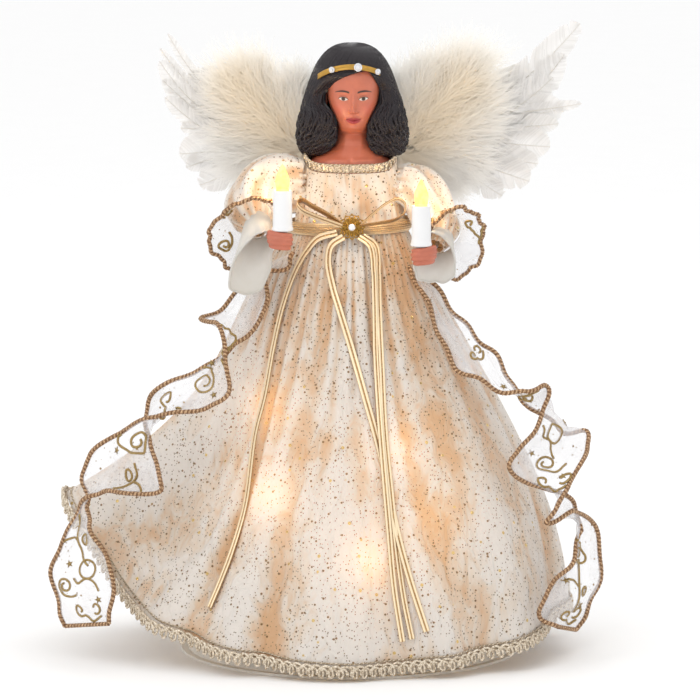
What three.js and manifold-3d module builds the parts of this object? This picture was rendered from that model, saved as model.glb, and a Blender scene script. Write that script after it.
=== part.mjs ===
// Lighted treetop angel: a gown over a hollow card cone, a moulded bust with dark hair, feather
// wings on wire stems, and two arms that hold candle lamps. Millimetres, +Z up, the front at -Y.
import * as THREE from "three";
import { mergeVertices } from "three/addons/utils/BufferGeometryUtils.js";
import Module from "manifold-3d";

const wasm = await Module();
wasm.setup();

// ---- Driving dimensions ----
const AXIS_X = 12; // the cone's axis, measured from the middle of the overall width
const GAP = 0.35; // clearance between pieces that touch

const CONE_HEIGHT = 214;
const CONE_BASE_RADIUS = 87;
const CONE_TOP_RADIUS = 21;
const CARD = 2;
const RIM_WIDTH = 5;

const WAIST_Z = 226;
const WAIST = { x: 28.5, y: 21.5, middleY: -2 };
const FABRIC = 1.6;
const HEM_TRIM_SHARE = 0.02; // share of the gown's length that the braid takes

const NECKLINE_Z = 257;
const SASH_HEIGHT = 7;
const SASH_OUT = 3.8; // the sash's middle, outside the waist
const SHOULDER = { y: -1, z: 252, wire: 1.1 };

const LAMPS = [
  { turn: -42, z: 88 },
  { turn: 8, z: 58 },
  { turn: 42, z: 78 },
  { turn: 26, z: 114 },
  { turn: -58, z: 132 },
  { turn: 160, z: 84 },
];
const LAMP = { holderRadius: 4.2, holderIn: 11, holderOut: 2, bulbRadius: 2.6, bulbOut: 8 };

const CANDLE = { radius: 5.1, bore: 4.1, height: 21, spigot: 2.6, spigotLength: 8 };
const FLAME = { base: 3.4, baseLength: 11, radius: 3.8, height: 14 };

const HINGE = { x: 11, y: 26.4, wire: 1.2, knuckle: 3.1, bottom: 243, top: 252 };

// ---- Materials ----
function finish(color, roughness, metalness = 0) {
  return new THREE.MeshStandardMaterial({ color, roughness, metalness });
}
const SATIN = finish(0xf3dcc0, 0.45);
const ORGANZA = finish(0xf8f0e2, 0.6);
const IVORY = finish(0xf6f1e6, 0.55);
const GOLD = finish(0xc39a56, 0.35, 0.8);
const GOLD_RIBBON = finish(0xd9bd86, 0.4, 0.3);
const SKIN = finish(0xa85f44, 0.45);
const HAIR = finish(0x1f1a1a, 0.35);
const CRYSTAL = finish(0xeef2f6, 0.05);
const CARDBOARD = finish(0xe9e4da, 0.9);
const FOAM = finish(0xf0ece4, 0.8);
const WHITE_PLASTIC = finish(0xf4f4f2, 0.35);
const HARNESS = finish(0xd8d6cf, 0.5);
const WIRE = finish(0xb9bcc0, 0.3, 0.9);
const LAMP_GLASS = finish(0xffe2a8, 0.1);
const FEATHER = finish(0xfbf8f1, 0.8);
const DOWN = finish(0xf7ead2, 0.9);

// ---- Small helpers ----
const vec = (x, y, z) => new THREE.Vector3(x, y, z);
const vecs = (list) => list.map((p) => vec(...p));
const mix = (a, b, t) => a + (b - a) * t;
const radians = THREE.MathUtils.degToRad;

// The direction out from the figure's axis: 0 is the front, a quarter turn is the right side.
const outward = (turn) => vec(Math.sin(turn), -Math.cos(turn), 0);

// The geometry with its shared vertices merged and its faces pointing out.
function closed(geometry) {
  const bare = geometry.clone();
  bare.deleteAttribute("normal");
  bare.deleteAttribute("uv");
  const merged = mergeVertices(bare, 1e-4);
  const index = merged.index.array;
  const corner = merged.attributes.position;
  const [a, b, c] = [vec(0, 0, 0), vec(0, 0, 0), vec(0, 0, 0)];
  let volume = 0;
  for (let i = 0; i < index.length; i += 3) {
    a.fromBufferAttribute(corner, index[i]);
    b.fromBufferAttribute(corner, index[i + 1]);
    c.fromBufferAttribute(corner, index[i + 2]);
    volume += a.dot(b.cross(c));
  }
  for (let i = 0; volume < 0 && i < index.length; i += 3) {
    [index[i + 1], index[i + 2]] = [index[i + 2], index[i + 1]];
  }
  merged.computeVertexNormals();
  return merged;
}

// ---- Joins and cuts ----
function toSolid(geometry) {
  const whole = closed(geometry);
  return new wasm.Manifold(
    new wasm.Mesh({
      numProp: 3,
      vertProperties: new Float32Array(whole.attributes.position.array),
      triVerts: new Uint32Array(whole.index.array),
    }),
  );
}

function fromSolid(solid) {
  const mesh = solid.getMesh();
  const geometry = new THREE.BufferGeometry();
  geometry.setAttribute("position", new THREE.BufferAttribute(mesh.vertProperties, 3));
  geometry.setIndex(new THREE.BufferAttribute(mesh.triVerts, 1));
  geometry.computeVertexNormals();
  return geometry;
}

function joined(first, ...others) {
  return fromSolid(others.reduce((whole, g) => whole.add(toSolid(g)), toSolid(first)));
}

function cut(geometry, ...tools) {
  return fromSolid(tools.reduce((whole, g) => whole.subtract(toSolid(g)), toSolid(geometry)));
}

// ---- Shape makers ----
// A point of a surface(u, v), moved along the surface's own normal.
function offsetPoint(surface, u, v, distance) {
  const step = 1e-3;
  const vLow = Math.max(0, v - step);
  const vHigh = Math.min(1, v + step);
  const alongU = surface(u + step, v).sub(surface(u - step, v));
  const alongV = surface(u, vHigh).sub(surface(u, vLow));
  return surface(u, v).addScaledVector(alongU.cross(alongV).normalize(), distance);
}

// Splits the quad whose two triangles start at index k along its other diagonal.
function otherDiagonal(index, k) {
  const [a, b, d, ...second] = [0, 1, 2, 3, 4, 5].map((n) => index.getX(k + n));
  const c = second.find((corner) => corner !== b && corner !== d);
  [a, b, c, a, c, d].forEach((corner, n) => index.setX(k + n, corner));
}

// A closed wall of even thickness on a surface that closes on itself in u, open at both v ends.
function sheath(columns, rows, thickness, surface) {
  const profile = [];
  for (let j = 0; j <= rows; j++) profile.push(new THREE.Vector2(2, j));
  for (let j = rows; j >= 0; j--) profile.push(new THREE.Vector2(1, j));
  profile.push(profile[0].clone());
  const geometry = new THREE.LatheGeometry(profile, columns);
  const position = geometry.attributes.position;
  for (let k = 0; k < position.count; k++) {
    const column = Math.floor(k / profile.length) % columns;
    const step = (k % profile.length) % (2 * rows + 2);
    const outer = step <= rows;
    const row = outer ? step : 2 * rows + 1 - step;
    const side = outer ? thickness / 2 : -thickness / 2;
    const p = offsetPoint(surface, column / columns, row / rows, side);
    position.setXYZ(k, p.x, p.y, p.z);
  }
  // The inner wall splits its quads the same way as the outer wall, so that the two never cross.
  const around = profile.length - 1;
  for (let i = 0; i < columns; i++) {
    for (let j = rows + 1; j <= 2 * rows; j++) otherDiagonal(geometry.index, 6 * (i * around + j));
  }
  return closed(geometry);
}

// A closed strip or panel of even thickness on a surface(u, v).
function panel(columns, rows, thickness, surface) {
  const geometry = new THREE.BoxGeometry(1, 1, 1, columns, rows, 1);
  const position = geometry.attributes.position;
  for (let k = 0; k < position.count; k++) {
    const u = position.getX(k) + 0.5;
    const v = position.getY(k) + 0.5;
    const p = offsetPoint(surface, u, v, position.getZ(k) * thickness);
    position.setXYZ(k, p.x, p.y, p.z);
  }
  // The back splits its quads the same way as the front, so that the two never cross.
  const back = geometry.groups[5];
  for (let k = back.start; k < back.start + back.count; k += 6) otherDiagonal(geometry.index, k);
  return closed(geometry);
}

// A solid of stacked ovals: each level is [z, half width, half depth, middle y, middle x].
function stacked(levels, columns) {
  const first = levels[0];
  const last = levels[levels.length - 1];
  const all = [[first[0], 0, 0, first[3], first[4]], ...levels, [last[0], 0, 0, last[3], last[4]]];
  const profile = all.map((level) => new THREE.Vector2(level[1] ? 1 : 0, level[0]));
  const geometry = new THREE.LatheGeometry(profile, columns);
  const position = geometry.attributes.position;
  for (let k = 0; k < position.count; k++) {
    const [z, halfWidth, halfDepth, middleY, middleX = 0] = all[k % all.length];
    const way = outward((2 * Math.PI * (Math.floor(k / all.length) % columns)) / columns);
    position.setXYZ(k, middleX + way.x * halfWidth, middleY + way.y * halfDepth, z);
  }
  return closed(geometry);
}

// A turned piece about Z from [radius, z] pairs.
function turned(pairs, columns) {
  const profile = pairs.map(([r, z]) => new THREE.Vector2(r, z));
  return new THREE.LatheGeometry(profile, columns).rotateX(Math.PI / 2);
}

// A wire along a smooth path.
function wire(points, radius, steps, sides = 6) {
  const section = new THREE.Shape();
  for (let i = 0; i < sides; i++) {
    const turn = (2 * Math.PI * i) / sides;
    const place = [radius * Math.cos(turn), radius * Math.sin(turn)];
    if (i) section.lineTo(...place);
    else section.moveTo(...place);
  }
  const extrudePath = new THREE.CatmullRomCurve3(vecs(points), false, "centripetal");
  return new THREE.ExtrudeGeometry(section, { steps, extrudePath, curveSegments: 1 });
}

// A sleeve of round sections along a path, with one radius for each path point.
function along(points, radii) {
  const path = new THREE.CatmullRomCurve3(vecs(points), false, "centripetal");
  const divisions = 24;
  const frames = path.computeFrenetFrames(divisions);
  const sizes = new THREE.SplineCurve(radii.map((r, i) => new THREE.Vector2(i, r)));
  return (u, v) => {
    const i = Math.min(divisions, Math.max(0, Math.round(v * divisions)));
    const turn = 2 * Math.PI * u;
    const radius = sizes.getPoint(v).y;
    return path
      .getPoint(v)
      .addScaledVector(frames.normals[i], radius * Math.cos(turn))
      .addScaledVector(frames.binormals[i], radius * Math.sin(turn));
  };
}

// A flounce between two closed rings that are listed in the same order.
function flounce(innerPoints, outerPoints) {
  const inner = new THREE.CatmullRomCurve3(vecs(innerPoints), true, "centripetal");
  const outer = new THREE.CatmullRomCurve3(vecs(outerPoints), true, "centripetal");
  return (u, v) => {
    const share = ((u % 1) + 1) % 1;
    return inner.getPoint(share).lerp(outer.getPoint(share), v);
  };
}

const angel = new THREE.Group();
const figure = new THREE.Group();
figure.position.x = AXIS_X;
angel.add(figure);

function add(name, geometry, material, parent = figure) {
  const mesh = new THREE.Mesh(geometry, material);
  mesh.name = name;
  parent.add(mesh);
  return mesh;
}

// ---- Gown ----
// The lower edge is a closed curve: low in front and behind, lifted and spread on the left.
const hem = new THREE.CatmullRomCurve3(
  vecs([
    [0, -95, 2],
    [42, -88, 4],
    [79, -71, 9],
    [101, -48, 15],
    [112, -14, 22],
    [112, 30, 24],
    [92, 66, 20],
    [50, 88, 14],
    [0, 95, 12],
    [-60, 88, 18],
    [-112, 66, 38],
    [-144, 36, 64],
    [-152, 5, 80],
    [-142, -18, 58],
    [-122, -42, 32],
    [-85, -71, 13],
    [-42, -89, 5],
  ]),
  true,
  "centripetal",
);

// The gown hangs nearly straight on the left, and swells on the right before it falls.
function gownPoint(u, v) {
  const share = ((u % 1) + 1) % 1;
  const low = hem.getPoint(share);
  const turn = Math.atan2(low.x, -low.y);
  const top = outward(turn).multiply(vec(WAIST.x, WAIST.y, 0)).add(vec(0, WAIST.middleY, WAIST_Z));
  const swell = 0.1 + (Math.sin(turn) > 0 ? 0.16 : 0.4) * Math.sin(turn);
  const spread = v + swell * v * Math.sin(Math.PI * v);
  return vec(mix(top.x, low.x, spread), mix(top.y, low.y, spread), mix(top.z, low.z, v));
}

// The place on the gown's front that has the given x and z, moved out by a gap.
function onGown(x, z, gap) {
  let u = Math.atan2(x, 60) / (2 * Math.PI);
  let v = 0.5;
  const step = 1e-4;
  for (let k = 0; k < 30; k++) {
    const here = gownPoint(u, v);
    const alongU = gownPoint(u + step, v).sub(here).divideScalar(step);
    const alongV = gownPoint(u, v + step).sub(here).divideScalar(step);
    const across = alongU.x * alongV.z - alongU.z * alongV.x;
    const missX = x - here.x;
    const missZ = z - here.z;
    u += (0.8 * (missX * alongV.z - missZ * alongV.x)) / across;
    v = Math.min(1, Math.max(0, v + (0.8 * (alongU.x * missZ - alongU.z * missX)) / across));
  }
  const point = gownPoint(u, v);
  return point.addScaledVector(outward(Math.atan2(point.x, -point.y)), gap);
}

const GOWN_COLUMNS = 36;
const skirtEnd = 1 - HEM_TRIM_SHARE - 0.002;
add("skirt", sheath(GOWN_COLUMNS, 7, FABRIC, (u, v) => gownPoint(u, v * skirtEnd)), SATIN);
add(
  "hem_trim",
  sheath(GOWN_COLUMNS, 1, FABRIC, (u, v) => gownPoint(u, mix(1 - HEM_TRIM_SHARE, 1, v))),
  GOLD,
);

// ---- Support cone, open at both ends, that slips over the treetop ----
const coneRadius = (z) => mix(CONE_BASE_RADIUS, CONE_TOP_RADIUS, z / CONE_HEIGHT);

// Places a piece that points out of the cone's wall, square to the cone's axis.
function pointOut(mesh, turn, radius, z) {
  mesh.position.copy(outward(turn).multiplyScalar(radius).add(vec(0, 0, z)));
  mesh.quaternion.setFromUnitVectors(vec(0, 0, 1), outward(turn));
}

function wallHole(turn, z, radius) {
  const hole = new THREE.CylinderGeometry(radius, radius, 30, 10);
  const way = outward(turn).multiplyScalar(coneRadius(z));
  return hole.rotateZ(turn).translate(way.x, way.y, z);
}

const GROMMET = { turn: Math.PI, z: 14, radius: 4.5, bore: 1.8 };
const coneWall = turned(
  [
    [CONE_BASE_RADIUS - CARD, 0],
    [CONE_BASE_RADIUS + RIM_WIDTH - CARD, 0],
    [CONE_BASE_RADIUS + RIM_WIDTH - CARD, 1.2],
    [coneRadius(1.2), 1.2],
    [CONE_TOP_RADIUS, CONE_HEIGHT],
    [CONE_TOP_RADIUS - CARD, CONE_HEIGHT],
    [CONE_BASE_RADIUS - CARD, 0],
  ],
  40,
);
add(
  "support_cone",
  cut(
    coneWall,
    ...LAMPS.map((lamp) => wallHole(radians(lamp.turn), lamp.z, LAMP.holderRadius + GAP)),
    wallHole(GROMMET.turn, GROMMET.z, GROMMET.radius - 0.8),
  ),
  CARDBOARD,
);

// ---- Light set inside the gown ----
LAMPS.forEach((lamp, i) => {
  const { holderRadius, holderIn, holderOut, bulbRadius, bulbOut } = LAMP;
  const holder = turned(
    [
      [0, -holderIn],
      [holderRadius, -holderIn],
      [holderRadius, holderOut],
      [bulbRadius + GAP, holderOut],
      [bulbRadius + GAP, 2 - holderIn],
      [0, 2 - holderIn],
    ],
    8,
  );
  const bulb = turned(
    [
      [0, 3 - holderIn],
      [bulbRadius, 3 - holderIn],
      [bulbRadius, bulbOut - 4],
      [bulbRadius * 0.7, bulbOut - 1.5],
      [0, bulbOut],
    ],
    8,
  );
  const turn = radians(lamp.turn);
  const radius = coneRadius(lamp.z);
  pointOut(add(`lamp_holder_${i + 1}`, holder, WHITE_PLASTIC), turn, radius, lamp.z);
  pointOut(add(`lamp_bulb_${i + 1}`, bulb, LAMP_GLASS), turn, radius, lamp.z);
});

// The wire runs behind the holders one after another, then up to the candles.
function harnessPoint(turn, z, inside) {
  const p = outward(radians(turn)).multiplyScalar(coneRadius(z) - inside);
  return [p.x, p.y, z];
}
const behind = LAMP.holderIn + 3.6;
const harnessRoute = [
  harnessPoint(176, 15, 9),
  harnessPoint(172, 50, 10),
  harnessPoint(160, 84, behind),
  harnessPoint(110, 78, behind),
  harnessPoint(70, 74, behind),
  harnessPoint(42, 78, behind),
  harnessPoint(24, 66, behind),
  harnessPoint(8, 58, behind),
  harnessPoint(-18, 68, behind),
  harnessPoint(-42, 88, behind),
  harnessPoint(-58, 108, behind),
  harnessPoint(-58, 132, behind),
  harnessPoint(-20, 132, behind),
  harnessPoint(26, 114, behind),
  harnessPoint(60, 136, behind),
  harnessPoint(80, 165, 6),
  harnessPoint(90, 200, 6),
];
add("harness_wire", wire(harnessRoute, 1.1, 72, 5), HARNESS);

const grommet = turned(
  [
    [GROMMET.bore, -4],
    [GROMMET.radius - 1.2, -4],
    [GROMMET.radius - 1.2, 2.4],
    [GROMMET.radius, 2.4],
    [GROMMET.radius, 4.4],
    [GROMMET.bore, 4.4],
    [GROMMET.bore, -4],
  ],
  10,
);
pointOut(add("lead_grommet", grommet, WHITE_PLASTIC), GROMMET.turn, coneRadius(GROMMET.z), GROMMET.z);

// ---- Torso and bust ----
add(
  "torso_form",
  stacked(
    [
      [204, 17.5, 17.5, 0],
      [CONE_HEIGHT + GAP, 18.5, 18.5, 0],
      [CONE_HEIGHT + 1, 23, 18.5, 0],
      [228, 25, 18, -1],
      [245.5, 22, 14.5, -1],
    ],
    20,
  ),
  FOAM,
);

const HEAD_X = 1.5;
const bustLevels = [
  [246, 22, 14, -1],
  [254, 22.5, 14, -1],
  [259, 21.5, 12.5, -0.5],
  [263.5, 15.5, 10.5, 0.5],
  [268, 10, 9.5, 2, 1],
  [276, 9.2, 9.2, 2, HEAD_X],
  [278.5, 9, 14, -3, HEAD_X],
  [284, 13, 17, -1.5, HEAD_X],
  [291, 15.2, 18.5, -0.5, HEAD_X],
  [300, 16, 19.5, 0, HEAD_X],
  [309, 15, 18, 0.5, HEAD_X],
  [316, 11.5, 13, 1, HEAD_X],
  [320, 6, 7, 1, HEAD_X],
];
const shoulderHole = new THREE.CylinderGeometry(SHOULDER.wire + 0.7, SHOULDER.wire + 0.7, 14, 8);
shoulderHole.rotateZ(Math.PI / 2);
const leftHole = shoulderHole.clone().translate(-22, SHOULDER.y, SHOULDER.z);
const rightHole = shoulderHole.clone().translate(22, SHOULDER.y, SHOULDER.z);
add("bust", cut(stacked(bustLevels, 16), leftHole, rightHole), SKIN);

// ---- Hair, headband and stones ----
const headRoom = stacked(
  bustLevels.map(([z, a, b, y, x]) => [z + (z > 300 ? 0.5 : 0), a + 0.5, b + 0.5, y, x]),
  16,
);
const hairLevels = [
  [266, 19, 14, 4],
  [269.5, 25.5, 20, 3.5],
  [277, 28.5, 23, 2.5],
  [290, 26, 24, 1],
  [302, 23, 24, 0.5],
  [312, 19.5, 21, 0.5],
  [319, 14, 15.5, 1],
  [323, 7, 8, 1],
];
const hairMass = stacked(
  hairLevels.map(([z, a, b, y]) => [z, a, b, y, HEAD_X - 1]),
  18,
);
const faceOpening = new THREE.SphereGeometry(1, 14, 10).scale(14, 24, 25).translate(HEAD_X, -24, 283);
const throatOpening = new THREE.BoxGeometry(26, 30, 26).translate(HEAD_X, -18, 272);
add("hair", cut(hairMass, headRoom, faceOpening, throatOpening), HAIR);

const BAND = { z: 313.5, dip: 2, height: 3, reach: 0.62, halfWidth: 20.8, halfDepth: 22.3 };
function headbandPoint(u, v) {
  const turn = mix(-BAND.reach, BAND.reach, u) * 1.5;
  const way = outward(turn);
  const z = BAND.z - BAND.dip * (1 - Math.cos(turn)) * 2 + (v - 0.5) * BAND.height;
  return vec(HEAD_X - 1 + way.x * BAND.halfWidth, 0.5 + way.y * BAND.halfDepth, z);
}
add("headband", panel(12, 1, 0.9, headbandPoint), GOLD);

function stone(name, radius, share) {
  const gem = turned(
    [
      [0, 0],
      [radius, 0],
      [radius, 0.8],
      [radius * 0.6, 1.8],
      [0, 1.8],
    ],
    10,
  );
  const place = offsetPoint(headbandPoint, share, 0.5, 0);
  const mesh = add(name, gem, CRYSTAL);
  const way = outward(mix(-BAND.reach, BAND.reach, share) * 1.5);
  mesh.position.copy(place.addScaledVector(way, 0.45 + GAP));
  mesh.quaternion.setFromUnitVectors(vec(0, 0, 1), way);
}
stone("crystal_center", 2.4, 0.53);
stone("crystal_left", 1.6, 0.26);
stone("crystal_right", 1.6, 0.8);

// ---- Bodice, neckline and sash ----
const oval = (turn, x, y, middleY) => {
  const way = outward(turn);
  const square = 1 / Math.pow(Math.abs(way.x) ** 3 + Math.abs(way.y) ** 3, 1 / 3);
  const round = mix(1, square, 0.6);
  return vec(way.x * x * round, middleY + way.y * y * round, 0);
};
// The neckline is level in front, climbs over the shoulders and drops a little behind.
const neckRise = (turn) => 4 * Math.pow(Math.abs(Math.sin(turn)), 3) + (1 - Math.cos(turn));

function bodicePoint(u, v) {
  const turn = 2 * Math.PI * u;
  const edge = oval(turn, mix(WAIST.x, 23.8, v), mix(WAIST.y, 15.4, v), mix(WAIST.middleY, -1, v));
  edge.z = mix(WAIST_Z + 1.5, NECKLINE_Z - GAP + neckRise(turn), v);
  return edge;
}
add("bodice", cut(sheath(24, 3, FABRIC, bodicePoint), leftHole, rightHole), SATIN);

function necklinePoint(u, v) {
  const turn = 2 * Math.PI * u;
  const edge = oval(turn, mix(23.8, 23.2, v), mix(15.4, 14.8, v), -1);
  edge.z = NECKLINE_Z + 0.2 + neckRise(turn) + 4.2 * v;
  return edge;
}
add("neckline_trim", sheath(24, 1, 1.2, necklinePoint), GOLD);

function sashPoint(u, v) {
  const turn = 2 * Math.PI * u;
  const edge = outward(turn).multiply(vec(WAIST.x + SASH_OUT, WAIST.y + SASH_OUT, 0));
  return edge.add(vec(0, WAIST.middleY, WAIST_Z + (v - 0.35) * SASH_HEIGHT));
}
add("sash", sheath(24, 1, 1.4, sashPoint), GOLD_RIBBON);

// ---- Bow, tails and brooch ----
const KNOT = { x: 1, y: WAIST.middleY - WAIST.y - SASH_OUT - 0.7 - GAP, z: 229 };
function bowLoop(name, outline) {
  const path = new THREE.CatmullRomCurve3(
    outline.map(([x, z]) => vec(x, KNOT.y - 3, z)),
    true,
    "centripetal",
  );
  const loop = (u, v) => path.getPoint(((u % 1) + 1) % 1).add(vec(0, (v - 0.5) * 5, 0));
  add(name, sheath(18, 1, 0.9, loop), GOLD_RIBBON);
}
bowLoop("bow_loop_left", [
  [-6.5, 231],
  [-14, 238.5],
  [-22, 243.5],
  [-26, 241],
  [-22, 236.5],
  [-13, 231.5],
]);
bowLoop("bow_loop_right", [
  [8.5, 231.5],
  [18, 240.5],
  [25, 243.5],
  [29, 240],
  [27, 234.5],
  [17, 230.5],
]);

function tail(name, route, gap) {
  const middle = new THREE.CatmullRomCurve3(
    route.map(([x, z]) => onGown(x, z, gap)),
    false,
    "centripetal",
  );
  const strip = (u, v) => {
    const share = Math.min(1, Math.max(0, u));
    const along = middle.getTangent(share);
    const place = middle.getPoint(share);
    const across = along.cross(outward(Math.atan2(place.x, -place.y))).normalize();
    return place.addScaledVector(across, (v - 0.5) * 4);
  };
  add(name, panel(14, 1, 0.9, strip), GOLD_RIBBON);
}
tail(
  "ribbon_tail_left",
  [
    [-17, 220],
    [-26, 206],
    [-32, 188],
    [-42, 141],
    [-47, 121],
    [-54, 85],
    [-66, 48],
    [-73, 34],
  ],
  2.8,
);
tail(
  "ribbon_tail_middle",
  [
    [-8, 220],
    [-10, 211],
    [-5, 188],
    [8, 141],
    [15, 116],
    [21, 85],
    [29, 54],
    [38, 25],
  ],
  2.4,
);
tail(
  "ribbon_tail_right",
  [
    [10, 220],
    [11, 193],
    [13, 157],
    [15, 126],
    [19, 79],
    [22, 48],
    [26, 20],
  ],
  4.6,
);

const BROOCH = { radius: 5.8, crystal: 2 };
const broochSetting = turned(
  [
    [0, 0],
    [BROOCH.radius, 0],
    [BROOCH.radius, 1.4],
    [BROOCH.radius - 1.4, 2.8],
    [BROOCH.crystal, 2.8],
    [0, 2.8],
  ],
  14,
);
const broochCrystal = turned(
  [
    [0, 2.8 + GAP],
    [BROOCH.crystal, 2.8 + GAP],
    [BROOCH.crystal * 0.6, 4.4],
    [0, 4.4],
  ],
  10,
);
for (const [name, shape, material] of [
  ["brooch_setting", broochSetting, GOLD],
  ["brooch_crystal", broochCrystal, CRYSTAL],
]) {
  const mesh = add(name, shape, material);
  mesh.position.set(KNOT.x, KNOT.y, KNOT.z);
  mesh.rotation.x = Math.PI / 2;
}

// ---- Organza cascades down both sides ----
// Each row is [inner edge, outer edge] of the cascade, from the waist to the hem.
const CASCADE_LEFT = [
  [[-31, -25, 213], [-46, -8, 206]],
  [[-43, -27, 206], [-57, -10, 195]],
  [[-45, -36, 191], [-67, -20, 183]],
  [[-52, -46, 177], [-77, -30, 177]],
  [[-61, -53, 170], [-76, -43, 175]],
  [[-68, -58, 163], [-77, -49, 165]],
  [[-68, -66, 155], [-86, -50, 154]],
  [[-68, -68, 143], [-98, -44, 147]],
  [[-78, -64, 137], [-107, -38, 136]],
  [[-92, -60, 131], [-109, -42, 127]],
  [[-103, -59, 119], [-114, -46, 123]],
  [[-106, -66, 106], [-125, -44, 118]],
  [[-105, -68, 94], [-136, -36, 107]],
  [[-120, -58, 92], [-144, -34, 96]],
  [[-135, -48, 88], [-147, -34, 90]],
  [[-140, -46, 80], [-149, -35, 82]],
  [[-140, -52, 70], [-151, -36, 71]],
  [[-132, -60, 58], [-155, -36, 56]],
  [[-128, -62, 48], [-157, -38, 44]],
  [[-127, -64, 35], [-155, -42, 30]],
  [[-127, -62, 22], [-151, -42, 19]],
];
const CASCADE_RIGHT = [
  [[31, -27, 208], [34, -17, 209]],
  [[37, -36, 194], [42, -22, 196]],
  [[43, -44, 181], [47, -22, 183]],
  [[50, -50, 168], [56, -22, 174]],
  [[58, -54, 156], [68, -24, 166]],
  [[68, -58, 150], [78, -26, 157]],
  [[82, -58, 145], [86, -28, 147]],
  [[93, -54, 145], [95, -34, 138]],
  [[100, -51, 138], [106, -33, 129]],
  [[100, -53, 131], [116, -31, 121]],
  [[98, -56, 125], [124, -30, 119]],
  [[94, -62, 114], [126, -38, 112]],
  [[92, -66, 106], [122, -46, 104]],
  [[101, -63, 96], [118, -50, 96]],
  [[110, -64, 89], [116, -45, 89]],
  [[111, -66, 79], [119, -42, 80]],
  [[115, -61, 69], [124, -38, 70]],
  [[116, -60, 56], [129, -32, 60]],
  [[113, -62, 46], [132, -28, 50]],
  [[109, -68, 36], [132, -30, 38]],
  [[108, -66, 27], [129, -34, 27]],
  [[112, -60, 20], [122, -42, 18]],
];
function cascade(name, rows) {
  const inner = new THREE.CatmullRomCurve3(vecs(rows.map((r) => r[0])), false, "centripetal");
  const outer = new THREE.CatmullRomCurve3(vecs(rows.map((r) => r[1])), false, "centripetal");
  const surface = (u, v) => {
    const share = Math.min(1, Math.max(0, u));
    return inner.getPoint(share).lerp(outer.getPoint(share), v);
  };
  add(name, panel(2 * rows.length - 2, 1, 1.1, surface), ORGANZA);
}
cascade("drape_left", CASCADE_LEFT);
cascade("drape_right", CASCADE_RIGHT);

// ---- Arms ----
// A ring of points around a centre, from the top round by the figure's left side.
function ring(middle, radius) {
  const points = [];
  for (let k = 0; k < 8; k++) {
    const turn = (2 * Math.PI * k) / 8;
    points.push([
      middle[0] + radius * Math.sin(turn),
      middle[1],
      middle[2] + radius * Math.cos(turn),
    ]);
  }
  return points;
}

const ARMS = {
  left: {
    sleeve: [[-29.5, -1, 252], [-36, -4, 252], [-44, -9, 247], [-50, -17, 241], [-52, -25, 236]],
    radii: [8, 12.5, 15, 13, 9.5],
    bone: [[-19, -1, 252], [-30, -1, 252], [-44, -10, 247], [-49, -26, 236], [-44, -41, 229]],
    hand: [-37, -51.5, 224],
    candle: [-35, -54, 230],
    ruffleFrom: ring([-51, -32.5, 234], 9),
    ruffleTo: [
      [-50, -47, 244],
      [-40, -40, 240],
      [-38, -34, 228],
      [-46, -27, 213],
      [-62, -20, 204],
      [-72, -26, 214],
      [-75, -34, 223],
      [-63, -44, 238],
    ],
    cuffFrom: ring([-47, -37, 231], 6.5),
    cuffTo: [
      [-46, -50, 239],
      [-38, -43, 239],
      [-37, -37, 220],
      [-45, -40, 208],
      [-52, -38, 198],
      [-59, -38, 206],
      [-57, -44, 218],
      [-54, -49, 232],
    ],
  },
  right: {
    sleeve: [[31.5, -1, 251], [38, -4, 248.5], [42.5, -10, 243], [46, -18, 235], [48, -25, 229]],
    radii: [8, 11, 12.5, 11.5, 9],
    bone: [[19, -1, 252], [30, -1, 252], [41, -10, 243], [48, -26, 230], [45, -41, 220]],
    hand: [39, -51.5, 216],
    candle: [37, -54, 222],
    ruffleFrom: ring([49.5, -31.5, 227], 7.5),
    ruffleTo: [
      [50, -46, 238],
      [63, -42, 239],
      [70, -34, 230],
      [69, -26, 214],
      [61, -20, 200],
      [46, -26, 206],
      [36.5, -33, 218],
      [38.5, -40, 231],
    ],
    cuffFrom: ring([47, -37, 223], 6),
    cuffTo: [
      [47, -49, 230],
      [55, -47, 224],
      [58, -42, 212],
      [58, -37, 202],
      [52, -36, 197],
      [45, -38, 203],
      [36.5, -39, 212],
      [38, -44, 230],
    ],
  },
};

function handShape({ hand, candle, bone }) {
  const wrist = bone[bone.length - 1];
  const fist = new THREE.SphereGeometry(1, 12, 8).scale(7, 6.6, 5.6).translate(...hand);
  const from = vec(...hand);
  const to = vec(...wrist);
  const forearm = new THREE.CylinderGeometry(3.6, 3.4, from.distanceTo(to) + 4, 10);
  const turnTo = new THREE.Quaternion().setFromUnitVectors(vec(0, 1, 0), from.clone().sub(to).normalize());
  forearm.applyQuaternion(turnTo).translate(...from.clone().add(to).multiplyScalar(0.5));
  const candleHole = new THREE.CylinderGeometry(1, 1, 30, 10).rotateX(Math.PI / 2);
  candleHole.scale(CANDLE.spigot + GAP, CANDLE.spigot + GAP, 1).translate(candle[0], candle[1], candle[2]);
  const candleSeat = new THREE.CylinderGeometry(7, 7, 6, 12).rotateX(Math.PI / 2);
  candleSeat.translate(candle[0], candle[1], candle[2] + 3 - GAP);
  const wireHole = wire(bone, SHOULDER.wire + 0.5, 24, 6);
  return cut(joined(fist, forearm), candleHole, candleSeat, wireHole);
}

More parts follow.
